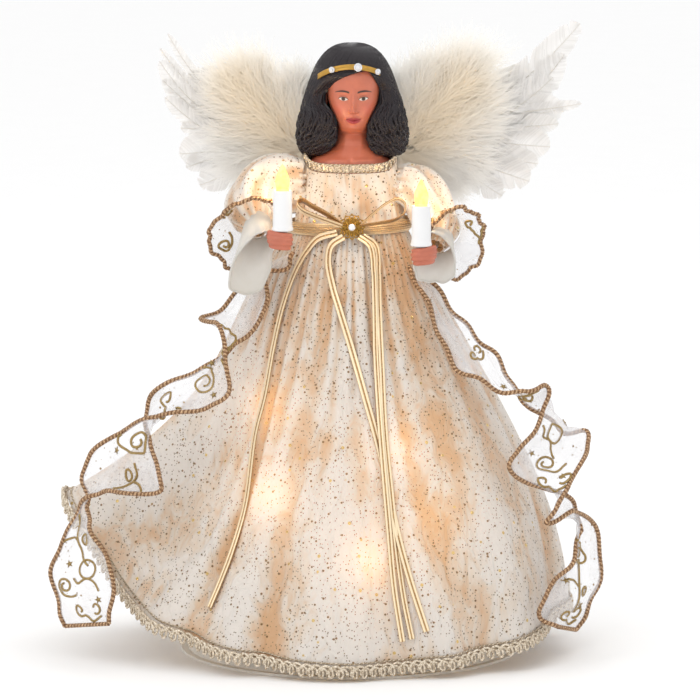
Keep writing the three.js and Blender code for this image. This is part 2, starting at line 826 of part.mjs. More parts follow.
for (const [name, arm] of Object.entries(ARMS)) {
  add(`arm_wire_${name}`, wire(arm.bone, SHOULDER.wire, 18, 6), WIRE);
  add(`sleeve_${name}`, sheath(14, 5, 1.4, along(arm.sleeve, arm.radii)), SATIN);
  add(`sleeve_ruffle_${name}`, sheath(16, 2, 1, flounce(arm.ruffleFrom, arm.ruffleTo)), ORGANZA);
  add(`cuff_${name}`, sheath(14, 2, 1, flounce(arm.cuffFrom, arm.cuffTo)), IVORY);
  add(`hand_${name}`, handShape(arm), SKIN);

  const tube = turned(
    [
      [0, -CANDLE.spigotLength],
      [CANDLE.spigot, -CANDLE.spigotLength],
      [CANDLE.spigot, 0],
      [CANDLE.radius + 0.5, 0],
      [CANDLE.radius, 3],
      [CANDLE.radius, CANDLE.height],
      [CANDLE.bore, CANDLE.height],
      [CANDLE.bore, CANDLE.height - FLAME.baseLength - 2],
      [0, CANDLE.height - FLAME.baseLength - 2],
    ],
    14,
  );
  add(`candle_${name}`, tube, WHITE_PLASTIC).position.set(...arm.candle);

  const flame = turned(
    [
      [0, -FLAME.baseLength],
      [FLAME.base, -FLAME.baseLength],
      [FLAME.base, 1],
      [FLAME.radius, 4.5],
      [FLAME.radius * 0.72, 8.5],
      [FLAME.radius * 0.25, FLAME.height - 1],
      [0, FLAME.height],
    ],
    12,
  );
  const [x, y, z] = arm.candle;
  add(`flame_bulb_${name}`, flame, LAMP_GLASS).position.set(x, y, z + CANDLE.height);
}

// ---- Wings ----
// A plate on the back carries a pair of upright knuckles, one for each wing's wire stem.
const backPlate = new THREE.BoxGeometry(34, 2.4, 22).translate(0, HINGE.y - 4.6, 247);
function knuckle(side) {
  const { x, y, bottom, top } = HINGE;
  const height = top - bottom;
  const barrel = new THREE.CylinderGeometry(HINGE.knuckle, HINGE.knuckle, height, 12);
  const web = new THREE.BoxGeometry(3, 3, height).translate(side * x, y - 3, (bottom + top) / 2);
  return joined(barrel.rotateX(Math.PI / 2).translate(side * x, y, (bottom + top) / 2), web);
}
function stemHole(side) {
  const hole = new THREE.CylinderGeometry(HINGE.wire + 0.45, HINGE.wire + 0.45, 60, 10);
  return hole.rotateX(Math.PI / 2).translate(side * HINGE.x, HINGE.y, HINGE.bottom);
}
add(
  "wing_mount",
  cut(joined(backPlate, knuckle(-1), knuckle(1)), stemHole(-1), stemHole(1)),
  WHITE_PLASTIC,
);

// A wing lies in a plane that leans back as it goes out. Its own x runs outwards from the stem.
const WING_LEAN = radians(7);
const WINGS = {
  left: {
    side: -1,
    tips: [[104, 321], [109, 312], [105, 292], [97, 271], [92, 251], [79, 234]],
    down: { x: 42, z: 283, halfWidth: 34, halfHeight: 37 },
  },
  right: {
    side: 1,
    tips: [[128, 324], [126, 313], [122, 297], [128, 281], [115, 267], [105, 251], [89, 234]],
    down: { x: 46, z: 280, halfWidth: 38, halfHeight: 40 },
  },
};
const QUILL_ROOT = { x: 25, z: 264 };

// One long feather: a leaf outline from near the stem to its tip.
function quill([tipX, tipZ], halfWidth, depth) {
  const from = new THREE.Vector2(QUILL_ROOT.x, QUILL_ROOT.z);
  const to = new THREE.Vector2(tipX, tipZ);
  const way = to.clone().sub(from);
  const side = new THREE.Vector2(-way.y, way.x).normalize().multiplyScalar(halfWidth);
  const at = (share, across) => from.clone().addScaledVector(way, share).addScaledVector(side, across);
  const leaf = new THREE.Shape();
  leaf.moveTo(...at(0, 0.5));
  leaf.lineTo(...at(0, -0.5));
  leaf.lineTo(...at(0.4, -0.9));
  leaf.lineTo(...at(0.8, -1));
  leaf.lineTo(...at(0.95, -0.6));
  leaf.lineTo(...at(1, 0));
  leaf.lineTo(...at(0.95, 0.6));
  leaf.lineTo(...at(0.8, 1));
  leaf.lineTo(...at(0.4, 0.9));
  return new THREE.ExtrudeGeometry(leaf, { depth, bevelEnabled: false, curveSegments: 1 });
}

const LAYER = { down: 0.5, quills: 9, quillDepth: 1.2, backing: 10.7, backingDepth: 1.4, stem: 13.8 };
for (const [name, wing] of Object.entries(WINGS)) {
  const { side, tips, down } = wing;
  // Wing space: x outwards, y up, z towards the front; mirrored for the left wing.
  const place = (geometry) => {
    geometry.rotateX(Math.PI / 2);
    geometry.rotateZ(WING_LEAN);
    if (side < 0) geometry.scale(-1, 1, 1);
    return closed(geometry.translate(side * HINGE.x, HINGE.y, 0));
  };
  const layer = (geometry, front) => place(geometry.translate(-HINGE.x, 0, -front));

  const blades = tips.map((tip) => quill(tip, 9, LAYER.quillDepth));
  add(`primary_feathers_${name}`, layer(joined(...blades), LAYER.quills + LAYER.quillDepth), FEATHER);

  const card = tips.map(([x, z]) => quill([mix(x, 30, 0.3), mix(z, 270, 0.3)], 6, LAYER.backingDepth));
  add(`wing_backing_${name}`, layer(joined(...card), LAYER.backing + LAYER.backingDepth), FOAM);

  const fluff = new THREE.SphereGeometry(1, 14, 8);
  const spot = fluff.attributes.position;
  for (let k = 0; k < spot.count; k++) {
    const turn = Math.atan2(spot.getY(k), spot.getX(k));
    const lobes = 1 + 0.05 * Math.cos(7 * turn);
    const width = spot.getX(k) * down.halfWidth * lobes;
    const height = spot.getY(k) * down.halfHeight * lobes;
    spot.setXYZ(k, down.x + width, down.z + height, spot.getZ(k) * 4);
  }
  add(`down_feathers_${name}`, layer(fluff, LAYER.down + 4), DOWN);

  const bend = (x, z) => {
    const reach = x - HINGE.x;
    const back = LAYER.stem * Math.min(1, reach / 5);
    const lean = [Math.cos(WING_LEAN), Math.sin(WING_LEAN)];
    const shiftX = side * (HINGE.x + reach * lean[0] - back * lean[1]);
    return [shiftX, HINGE.y + reach * lean[1] + back * lean[0], z];
  };
  const stem = [
    [side * HINGE.x, HINGE.y, HINGE.bottom - 1],
    [side * HINGE.x, HINGE.y, HINGE.top - 3],
    [side * HINGE.x, HINGE.y, HINGE.top + 2],
    bend(16, 258),
    bend(24, 264),
    bend(42, 278),
    bend(60, 292),
  ];
  add(`wing_wire_${name}`, wire(stem, HINGE.wire, 22, 6), WIRE);
}

export default angel;
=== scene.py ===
"""A lighted treetop angel: satin gown, organza cascades, feather wings, candles and a moulded bust."""
import math

import bpy
import numpy as np
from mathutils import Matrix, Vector


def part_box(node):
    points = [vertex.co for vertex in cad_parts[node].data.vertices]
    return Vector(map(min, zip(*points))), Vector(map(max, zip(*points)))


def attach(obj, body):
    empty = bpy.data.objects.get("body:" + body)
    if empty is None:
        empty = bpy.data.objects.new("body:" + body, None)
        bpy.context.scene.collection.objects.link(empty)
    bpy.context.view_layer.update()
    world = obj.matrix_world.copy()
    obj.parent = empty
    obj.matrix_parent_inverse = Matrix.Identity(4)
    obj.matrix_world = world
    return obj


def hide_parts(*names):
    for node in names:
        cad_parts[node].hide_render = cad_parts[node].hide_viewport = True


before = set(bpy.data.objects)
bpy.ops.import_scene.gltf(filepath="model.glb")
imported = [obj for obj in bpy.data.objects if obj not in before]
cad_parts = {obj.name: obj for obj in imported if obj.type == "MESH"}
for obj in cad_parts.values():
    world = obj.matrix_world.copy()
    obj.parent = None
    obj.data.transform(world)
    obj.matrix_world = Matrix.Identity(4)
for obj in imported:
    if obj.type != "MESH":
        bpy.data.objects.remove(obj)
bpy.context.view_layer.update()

# Shapes are written in millimetres from the foot of the support cone's axis, the front at -Y.
MM = 0.001
cone_low, cone_high = (np.array(corner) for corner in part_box("support_cone"))
AXIS = np.array([(cone_low[0] + cone_high[0]) / 2, (cone_low[1] + cone_high[1]) / 2, cone_low[2]])
SIDES = {"left": -1, "right": 1}
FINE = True


def centre_of(node):
    low, high = (np.array(corner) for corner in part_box(node))
    return ((low + high) / 2 - AXIS) / MM


def top_of(node):
    return (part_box(node)[1][2] - AXIS[2]) / MM


# ---------------------------------------------------------------- curves and vectors
def vec(*values):
    return np.array(values, float)


def mix(a, b, t):
    return a + (b - a) * t


def step_up(x, low, high):
    """0 below low, 1 above high, smooth between."""
    t = np.clip((x - low) / (high - low), 0, 1)
    return t * t * (3 - 2 * t)


def unit(v):
    v = np.asarray(v, float)
    return v / np.maximum(np.linalg.norm(v, axis=-1, keepdims=True), 1e-9)


def outward(turn):
    """The level direction out from the axis: 0 is the front, a quarter turn the right side."""
    turn = np.asarray(turn, float)
    return np.stack([np.sin(turn), -np.cos(turn), np.zeros_like(turn)], -1)


def spline(points, shares, loop=False):
    """Points of a centripetal Catmull-Rom curve; shares from 0 to 1 run evenly over its spans."""
    points = np.asarray(points, float)
    spans = len(points) if loop else len(points) - 1
    shares = np.asarray(shares, float)
    where = (shares % 1.0 if loop else np.clip(shares, 0, 1)) * spans
    span = np.minimum(where.astype(int), spans - 1)
    t = (where - span)[..., None]
    if loop:
        rows = [points[(span + k) % len(points)] for k in (-1, 0, 1, 2)]
    else:
        ends = np.vstack([2 * points[0] - points[1], points, 2 * points[-1] - points[-2]])
        rows = [ends[span + k] for k in range(4)]
    gaps = [np.maximum(np.linalg.norm(b - a, axis=-1, keepdims=True), 1e-6) ** 0.5
            for a, b in zip(rows, rows[1:])]
    leave = ((rows[1] - rows[0]) / gaps[0] - (rows[2] - rows[0]) / (gaps[0] + gaps[1])
             + (rows[2] - rows[1]) / gaps[1]) * gaps[1]
    reach = ((rows[2] - rows[1]) / gaps[1] - (rows[3] - rows[1]) / (gaps[1] + gaps[2])
             + (rows[3] - rows[2]) / gaps[2]) * gaps[1]
    return ((2 * t**3 - 3 * t**2 + 1) * rows[1] + (t**3 - 2 * t**2 + t) * leave
            + (3 * t**2 - 2 * t**3) * rows[2] + (t**3 - t**2) * reach)


def length_of(path):
    return float(np.linalg.norm(np.diff(path, axis=0), axis=1).sum())


def even(path, step):
    """The same path with its points spaced evenly, about step apart."""
    gone = np.r_[0, np.cumsum(np.linalg.norm(np.diff(path, axis=0), axis=1))]
    count = max(3, int(gone[-1] / step) + 1)
    marks = np.linspace(0, gone[-1], count)
    return np.stack([np.interp(marks, gone, path[:, k]) for k in range(3)], -1)


def route(points, step):
    """A smooth path through the points, with points of its own about step apart."""
    return even(spline(points, np.linspace(0, 1, 24 * len(points) + 1)), step)


def closed(ring):
    """A ring of points with its first one again at the end."""
    return np.vstack([ring, ring[:1]])


def sheet_grid(rows, columns):
    """Two arrays of shares from 0 to 1: down the rows and along the columns."""
    return np.meshgrid(np.linspace(0, 1, rows), np.linspace(0, 1, columns), indexing="ij")


def round_grid(rows, columns):
    """Shares from 0 to 1 down the rows, and turns from 0 to a whole one round the columns."""
    return np.meshgrid(np.linspace(0, 1, rows), 2 * np.pi * np.arange(columns) / columns, indexing="ij")


def frames(path):
    """A side and an up vector at each point, carried along the path without twisting."""
    ahead = unit(np.gradient(path, axis=0))
    side = np.zeros_like(path)
    side[0] = unit(np.cross(ahead[0], vec(0, 0, 1) if abs(ahead[0][2]) < 0.9 else vec(1, 0, 0)))
    for k in range(1, len(path)):
        side[k] = unit(side[k - 1] - ahead[k] * np.dot(side[k - 1], ahead[k]))
    return side, np.cross(side, ahead)


# ---------------------------------------------------------------- building meshes
class Heap:
    """Collects grids of points, then makes one mesh piece of them."""

    def __init__(self):
        self.points = []
        self.faces = []
        self.layers = {}
        self.count = 0

    def grid(self, points, loop_columns=False, caps=False, **layers):
        """Adds rows of points; a layer is a number for each point, kept under its name."""
        points = np.asarray(points, float)
        rows, columns = points.shape[:2]
        index = np.arange(rows * columns).reshape(rows, columns) + self.count
        here, down = index[:-1], index[1:]
        if loop_columns:
            corners = [here, np.roll(here, -1, 1), np.roll(down, -1, 1), down]
        else:
            corners = [here[:, :-1], here[:, 1:], down[:, 1:], down[:, :-1]]
        self.faces += np.stack(corners, -1).reshape(-1, 4).tolist()
        if caps:
            self.faces += [index[0][::-1].tolist(), index[-1].tolist()]
        self.points.append(points.reshape(-1, 3))
        for name in set(layers) | set(self.layers):
            value = np.broadcast_to(layers.get(name, 0.0), (rows, columns)).reshape(-1)
            missing = self.count - sum(len(part) for part in self.layers.get(name, []))
            self.layers.setdefault(name, []).extend([np.zeros(missing), value] if missing else [value])
        self.count += rows * columns

    def tube(self, path, radius, sides=6, **layers):
        side, up = frames(path)
        turn = np.linspace(0, 2 * np.pi, sides, endpoint=False)
        radius = np.broadcast_to(radius, len(path))[:, None, None]
        ring = side[:, None] * np.cos(turn)[None, :, None] + up[:, None] * np.sin(turn)[None, :, None]
        layers = {k: np.broadcast_to(np.asarray(v)[..., None], (len(path), sides)) if np.ndim(v) else v
                  for k, v in layers.items()}
        self.grid(path[:, None] + ring * radius, loop_columns=True, caps=True, **layers)

    def ball(self, middle, size, rows=6, columns=8, **layers):
        rise = np.linspace(-np.pi / 2, np.pi / 2, rows + 1)[:, None]
        turn = np.linspace(0, 2 * np.pi, columns, endpoint=False)[None]
        flat = np.maximum(np.cos(rise), 1e-3)
        shape = np.stack([flat * np.cos(turn), flat * np.sin(turn), np.sin(rise) + 0 * turn], -1)
        self.grid(np.asarray(middle) + shape * np.asarray(size), loop_columns=True, caps=True, **layers)

    def twisted(self, path, radius, pitch):
        """A cord of two strands wound round each other."""
        path = even(path, pitch / (7 if FINE else 4))
        side, up = frames(path)
        gone = np.r_[0, np.cumsum(np.linalg.norm(np.diff(path, axis=0), axis=1))]
        for half in (0, np.pi):
            turn = (gone * 2 * np.pi / pitch + half)[:, None]
            strand = path + (side * np.cos(turn) + up * np.sin(turn)) * radius * 0.48
            self.tube(strand, radius * 0.58, sides=5, strand=half / np.pi)

    def piece(self, name, body, material, slot, instead=None, smooth=True):
        """Makes the piece, on a body; the slot is not used. It may be shown instead of a CAD node."""
        mesh = bpy.data.meshes.new(name)
        mesh.from_pydata((np.vstack(self.points) * MM + AXIS).tolist(), [], self.faces)
        for layer, parts in self.layers.items():
            values = np.concatenate(parts)
            values = np.r_[values, np.zeros(self.count - len(values))]
            mesh.attributes.new(layer, "FLOAT", "POINT").data.foreach_set("value", values.astype(np.float32))
        mesh.polygons.foreach_set("use_smooth", [smooth] * len(mesh.polygons))
        mesh.materials.append(material)
        mesh.update()
        piece = bpy.data.objects.new(name, mesh)
        bpy.context.collection.objects.link(piece)
        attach(piece, body)
        if instead:
            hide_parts(instead)
        return piece


SATIN_THICK, ORGANZA_THICK, RIBBON_THICK, IVORY_THICK = 0.5, 0.15, 0.4, 0.35
SKIRT_THICK = 0.6


def thicken(piece, thickness):
    solid = piece.modifiers.new("thickness", "SOLIDIFY")
    solid.thickness = thickness * MM
    solid.offset = 0.0


# ---------------------------------------------------------------- materials
class Look:
    """A Principled material and short ways to add nodes to it."""

    def __init__(self, name, color, roughness=0.5, metallic=0.0, **sockets):
        self.material = bpy.data.materials.new(name)
        self.material.use_nodes = True
        self.tree = self.material.node_tree
        self.shader = self.tree.nodes["Principled BSDF"]
        self.output = self.tree.nodes["Material Output"]
        self.put("Base Color", color)
        self.put("Roughness", roughness)
        self.put("Metallic", metallic)
        for socket, value in sockets.items():
            self.put(socket.replace("_", " "), value)

    def put(self, socket, value):
        self.join(self.shader.inputs[socket], value)

    def join(self, socket, value):
        if isinstance(value, bpy.types.NodeSocket):
            self.tree.links.new(value, socket)
        elif socket.type == "RGBA" and len(value) == 3:
            socket.default_value = (*value, 1)
        else:
            socket.default_value = value

    def node(self, kind, sockets, **settings):
        node = self.tree.nodes.new("ShaderNode" + kind)
        for key, value in settings.items():
            setattr(node, key, value)
        for socket, value in sockets.items():
            self.join(node.inputs[socket], value)
        return node

    def place(self):
        return self.node("TexCoord", {}).outputs["Object"]

    def layer(self, name):
        return self.node("Attribute", {}, attribute_name=name).outputs["Fac"]

    def noise(self, size, detail=3.0, roughness=0.5, tall=1.0, bend=0.0):
        """Cloudy noise; tall stretches it upwards, bend curls it up like crumpled cloth."""
        place = self.node("Mapping", {"Vector": self.place(), "Scale": (1, 1, 1 / tall)}).outputs[0]
        sockets = {"Vector": place, "Scale": 1 / (size * MM), "Detail": detail, "Roughness": roughness,
                   "Distortion": bend}
        return self.node("TexNoise", sockets).outputs["Fac"]

    def span(self, value, low, high, start=0.0, end=1.0):
        """The value stretched so that low becomes start and high becomes end."""
        sockets = {"Value": value, "From Min": low, "From Max": high, "To Min": start, "To Max": end}
        return self.node("MapRange", sockets).outputs["Result"]

    def math(self, operation, a, b=0.0):
        return self.node("Math", {0: a, 1: b}, operation=operation).outputs[0]

    def blend(self, share, a, b):
        return self.node("Mix", {0: share, 6: a, 7: b}, data_type="RGBA").outputs[2]

    def bump(self, height, depth, strength=1.0):
        sockets = {"Height": height, "Distance": depth * MM, "Strength": strength}
        return self.node("Bump", sockets).outputs["Normal"]

    def specks(self, cell, radius, share):
        """1 inside round specks of a radius, one in some of the cells."""
        sockets = {"Vector": self.place(), "Scale": 1 / (cell * MM)}
        cells = self.node("TexVoronoi", sockets, voronoi_dimensions="3D")
        dot = self.span(cells.outputs["Distance"], radius / cell, 0.7 * radius / cell)
        pick = self.node("SeparateColor", {0: cells.outputs["Color"]}).outputs[0]
        return self.math("MULTIPLY", dot, self.math("LESS_THAN", pick, share))

    def weave(self, size):
        """A fine over-and-under weave, the same from all sides."""
        waves = []
        for direction in ("X", "Z"):
            sockets = {"Vector": self.place(), "Scale": 0.314 / (size * MM), "Distortion": 0.4}
            wave = self.node("TexWave", sockets, wave_type="BANDS", bands_direction=direction)
            waves.append(wave.outputs["Fac"])
        return self.math("MULTIPLY", *waves)

    def mix_shaders(self, share, first, second):
        both = self.node("MixShader", {0: share, 1: first.outputs[0], 2: second.outputs[0]})
        self.tree.links.new(both.outputs[0], self.output.inputs["Surface"])

    def see_through(self, share):
        """Mixes the shader with plain transparency; share is how much of it stays."""
        self.mix_shaders(share, self.node("BsdfTransparent", {"Color": (1, 1, 1)}), self.shader)

    def lets_light_through(self, share, color):
        """Lets a share of the light out on the far side, in a colour."""
        self.mix_shaders(share, self.shader, self.node("BsdfTranslucent", {"Color": color}))


# Satin colours: a painted pearl highlight, the cream cloth, and painted peach shade for the folds.
PEARL_HIGHLIGHT = (1.0, 0.95, 0.89)
CREAM = (0.93, 0.80, 0.66)
PEACH_FOLD_SHADE = (0.84, 0.53, 0.30)
BRONZE, DARK_GOLD, BRIGHT_GOLD = (0.17, 0.095, 0.035), (0.36, 0.21, 0.08), (0.95, 0.72, 0.32)


def satin():
    """Cream satin with painted shade, peach in its folds, and a painted pearl highlight on their ridges,
    sprinkled with bronze and gold glitter.
    """
    look = Look("glitter_satin", CREAM, roughness=0.38, Sheen_Weight=0.25, Sheen_Roughness=0.4)
    # The fold layer paints shade and highlight: peach in the fold valleys, pearl on the ridges, varied by
    # noise.
    fold = look.span(look.layer("fold"), -1.0, 0.9)
    crumple = look.noise(8, detail=4, roughness=0.6, tall=2.6, bend=1.2)
    cloudy = look.noise(45, detail=2)
    shade_and_tone = look.math("ADD", fold, look.span(crumple, 0.3, 0.7, -0.32, 0.32))
    shade_and_tone = look.math("ADD", shade_and_tone, look.span(cloudy, 0.35, 0.65, -0.25, 0.35))
    cloth = look.blend(look.span(shade_and_tone, -0.1, 0.5), PEACH_FOLD_SHADE, CREAM)
    cloth = look.blend(look.span(shade_and_tone, 0.4, 0.85), cloth, PEARL_HIGHLIGHT)
    fine = look.specks(1.4, 0.4, 0.6)
    middle = look.specks(3.2, 0.72, 0.55)
    large = look.specks(8, 1.1, 0.6)
    color = look.blend(fine, cloth, BRONZE)
    color = look.blend(middle, color, DARK_GOLD)
    color = look.blend(large, color, BRIGHT_GOLD)
    look.put("Base Color", color)
    shine = look.math("MAXIMUM", middle, large)
    look.put("Metallic", shine)
    look.put("Roughness", look.span(shine, 0, 1, 0.38, 0.25))
    height = look.math("ADD", look.math("MULTIPLY", look.weave(0.35), 0.05), crumple)
    look.put("Normal", look.bump(height, 4.0, 0.9))
    # Painted glow: the glow layer makes the cloth give off light where the lamps behind it shine through.
    look.put("Emission Color", (1.0, 0.62, 0.30))
    look.put("Emission Strength", look.math("MULTIPLY", look.layer("glow"), 0.5))
    look.lets_light_through(0.2, (1.0, 0.78, 0.5))
    return look.material


def organza():
    """Sheer white organza: mostly clear, milky at a glance, with a fine net and a few gold specks."""
    look = Look("organza", (0.97, 0.96, 0.95), roughness=0.35, Sheen_Weight=0.4)
    threads = look.weave(0.45)
    glitter = look.math("MAXIMUM", look.specks(6, 0.75, 0.6), look.specks(2.6, 0.4, 0.5))
    look.put("Base Color", look.blend(glitter, (0.84, 0.83, 0.85), (0.30, 0.19, 0.07)))
    shade = look.span(look.noise(16, detail=2), 0.3, 0.7, 0.12, 0.32)
    solid = look.math("ADD", shade, look.math("MULTIPLY", threads, 0.14))
    solid = look.math("MAXIMUM", solid, glitter)
    look.put("Normal", look.bump(look.noise(9, detail=3), 0.6, 0.5))
    look.see_through(look.math("MINIMUM", solid, 1.0))
    return look.material


def metal_thread(name, color, dark, size=0.6):
    """Metallic thread with a painted highlight where a strand stands up and painted shade between strands."""
    look = Look(name, color, roughness=0.38, metallic=0.4)
    grain = look.noise(size, detail=2)
    # Painted shade on the second strand of each twisted cord, over a random grain.
    strand = look.math("MULTIPLY", look.layer("strand"), 0.75)
    bright = look.math("SUBTRACT", look.span(grain, 0.35, 0.62), strand)
    look.put("Base Color", look.blend(bright, dark, color))
    look.put("Normal", look.bump(grain, 0.25, 0.7))
    return look.material


def ribbon():
    """Bronze gold ribbon with fine threads and two raised bands that carry a painted pale gold highlight."""
    look = Look("gold_ribbon", (0.78, 0.6, 0.36), roughness=0.3, metallic=0.55, Anisotropic=0.4)
    # The edge layer marks the painted highlight: pale gold on the raised bands, and on the sash lighter and
    # darker across its pleats.
    edge = look.span(look.layer("edge"), 0.35, 0.75)
    grain = look.noise(0.7, detail=2)
    pale = look.blend(look.span(grain, 0.35, 0.65), (0.30, 0.15, 0.05), (0.60, 0.36, 0.15))
    look.put("Base Color", look.blend(edge, pale, (0.97, 0.80, 0.54)))
    look.put("Normal", look.bump(grain, 0.12, 0.6))
    return look.material


def ivory():
    """Plain woven ivory cloth, a little uneven."""
    look = Look("ivory_cloth", (0.9, 0.88, 0.83), roughness=0.55, Sheen_Weight=0.3)
    look.put("Base Color", look.blend(look.noise(9), (0.68, 0.64, 0.56), (0.86, 0.84, 0.80)))
    look.put("Normal", look.bump(look.math("ADD", look.weave(0.4), look.noise(5)), 0.3, 0.5))
    look.lets_light_through(0.2, (1, 0.95, 0.88))
    return look.material


# Layer, strength and colour of each paint on the skin, in the order they go on; the last is painted shade
# that darkens the hands.
SKIN_PAINTS = (
    ("lips", 1.0, (0.36, 0.035, 0.04)), ("blush", 0.5, (0.6, 0.13, 0.09)),
    ("eye_white", 1.0, (0.75, 0.7, 0.64)), ("iris", 1.0, (0.05, 0.022, 0.012)),
    ("line", 1.0, (0.02, 0.012, 0.01)), ("dusk", 1.0, (0.2, 0.045, 0.025)),
)


def skin():
    """Painted resin skin with a warm tone, soft mottling and a satin surface."""
    look = Look("painted_skin", (0.45, 0.145, 0.085), roughness=0.42, Coat_Weight=0.15)
    mottling = look.span(look.noise(8, detail=3), 0.3, 0.7)
    color = look.blend(mottling, (0.47, 0.13, 0.075), (0.56, 0.165, 0.095))
    for layer, strength, paint in SKIN_PAINTS:
        color = look.blend(look.math("MULTIPLY", look.layer(layer), strength), color, paint)
    look.put("Base Color", color)
    look.put("Normal", look.bump(look.noise(0.9, detail=2), 0.05, 0.3))
    return look.material


def hair():
    """Moulded near-black hair with carved strands and a soft gloss."""
    look = Look("moulded_hair", (0.022, 0.018, 0.018), roughness=0.24, Specular_IOR_Level=0.32)
    groove = look.noise(1.6, detail=4, roughness=0.65)
    look.put("Base Color", look.blend(groove, (0.008, 0.006, 0.008), (0.028, 0.021, 0.025)))
    look.put("Normal", look.bump(groove, 0.2, 0.3))
    return look.material


def feather(name, color, shade, root):
    """Feather barbs: nearly white, warmer near the root, a little light coming through."""
    look = Look(name, color, roughness=0.7, Sheen_Weight=0.3)
    tinted = look.blend(look.layer("tone"), shade, color)
    look.put("Base Color", look.blend(look.layer("root"), tinted, root))
    look.put("Normal", look.bump(look.noise(1.0, detail=2), 0.15, 0.4))
    look.lets_light_through(0.45, color)
    return look.material


def darker(color, share):
    return tuple(share * c for c in color)


def plastic(name, color, roughness=0.35):
    """Moulded plastic: slightly cloudy, with a very fine grain."""
    look = Look(name, color, roughness=roughness, Coat_Weight=0.1)
    look.put("Base Color", look.blend(look.noise(14, detail=2), darker(color, 0.93), color))
    look.put("Normal", look.bump(look.noise(0.8, detail=2), 0.03, 0.3))
    return look.material


def card():
    """Pressed card with visible fibres."""
    look = Look("card", (0.86, 0.82, 0.75), roughness=0.85)
    fibre = look.noise(1.4, detail=4, roughness=0.7)
    look.put("Base Color", look.blend(fibre, (0.76, 0.71, 0.63), (0.9, 0.87, 0.81)))
    look.put("Normal", look.bump(fibre, 0.12, 0.5))
    return look.material


def lamp_glass(strength):
    """A lit lamp's tinted glass, brighter in places; strength is how bright."""
    look = Look(f"lamp_glow_{strength}", (0.85, 0.66, 0.16), roughness=0.2)
    look.put("Emission Color", (1.0, 0.86, 0.36))
    hot = look.span(look.noise(3, detail=1), 0.3, 0.7, 0.35 * strength, 0.75 * strength)
    look.put("Emission Strength", hot)
    return look.material


def crystal():
    """Clear cut glass, faintly blue."""
    look = Look("crystal", (0.95, 0.97, 1), roughness=0.05, Transmission_Weight=0.25, IOR=1.6)
    look.put("Base Color", look.blend(look.noise(1.2), (0.8, 0.85, 0.95), (1, 1, 1)))
    look.put("Normal", look.bump(look.noise(1.5, detail=0), 0.2, 0.5))
    return look.material


def polished(name, color, roughness=0.25):
    """Polished metal, darker and duller where it has worn."""
    look = Look(name, color, roughness=roughness, metallic=0.9)
    wear = look.noise(2.2, detail=3)
    look.put("Base Color", look.blend(wear, darker(color, 0.6), color))
    look.put("Roughness", look.span(wear, 0.2, 0.8, roughness, roughness + 0.2))
    look.put("Normal", look.bump(wear, 0.08, 0.4))
    return look.material


SATIN = satin()
ORGANZA = organza()
IVORY = ivory()
RIBBON = ribbon()
SKIN = skin()
HAIR = hair()
CARD = card()
CRYSTAL = crystal()
EDGE_CORD = metal_thread("edge_cord", (0.80, 0.55, 0.33), (0.20, 0.095, 0.04))
BRAID = metal_thread("hem_braid", (0.86, 0.76, 0.62), (0.36, 0.27, 0.17), size=0.8)
SCROLL_THREAD = metal_thread("scroll_thread", (0.46, 0.32, 0.12), (0.2, 0.12, 0.04), size=0.5)
POLISHED_GOLD = polished("polished_gold", (0.62, 0.36, 0.08))
STEEL_WIRE = polished("steel_wire", (0.7, 0.71, 0.72), roughness=0.3)
QUILLS = feather("quill_feathers", (0.97, 0.96, 0.95), (0.79, 0.78, 0.76), (0.93, 0.81, 0.63))
DOWN = feather("down_feathers", (1.0, 0.99, 0.97), (0.93, 0.92, 0.89), (1.0, 0.85, 0.62))
WHITE_PLASTIC = plastic("white_plastic", (0.86, 0.86, 0.86))
FOAM = plastic("foam", (0.9, 0.88, 0.84), roughness=0.75)
CABLE = plastic("cable", (0.8, 0.79, 0.75), roughness=0.5)
FLAME = lamp_glass(1)
SKIRT_LAMP = lamp_glass(6)


# ---------------------------------------------------------------- gown
WAIST = {"x": 28.5, "y": 21.5, "middle_y": -2.0, "z": 226.0}
HEM = [
    (0, -95, 2), (42, -88, 4), (79, -71, 9), (101, -48, 15), (112, -14, 22), (112, 30, 24),
    (92, 66, 20), (50, 88, 14), (0, 95, 12), (-60, 88, 18), (-112, 66, 38), (-144, 36, 64),
    (-152, 5, 80), (-142, -18, 58), (-122, -42, 32), (-85, -71, 13), (-42, -89, 5),
]
LAMP_SPOTS = [centre_of(f"lamp_bulb_{k}") for k in range(1, 7)]
# The cloth ends a little above the lower edge of the gown, where only the braid hangs.
BRAID_SHARE = 0.02
BRAID_TOP, BRAID_MIDDLE, BRAID_STEP, BRAID_PITCH = 0.966, 0.983, 0.45, 5.2


def gown_shape(u, v):
    """The smooth gown without folds; u runs round it from the front, v from waist to hem."""
    u, v = np.broadcast_arrays(np.asarray(u, float), np.asarray(v, float))
    low = spline(HEM, u, loop=True)
    turn = np.arctan2(low[..., 0], -low[..., 1])
    top = outward(turn) * vec(WAIST["x"], WAIST["y"], 0) + vec(0, WAIST["middle_y"], WAIST["z"])
    swell = 0.1 + np.where(np.sin(turn) > 0, 0.16, 0.4) * np.sin(turn)
    spread = (v + swell * v * np.sin(np.pi * v))[..., None]
    shape = mix(top, low, spread)
    shape[..., 2] = mix(top[..., 2], low[..., 2], v)
    return shape, turn


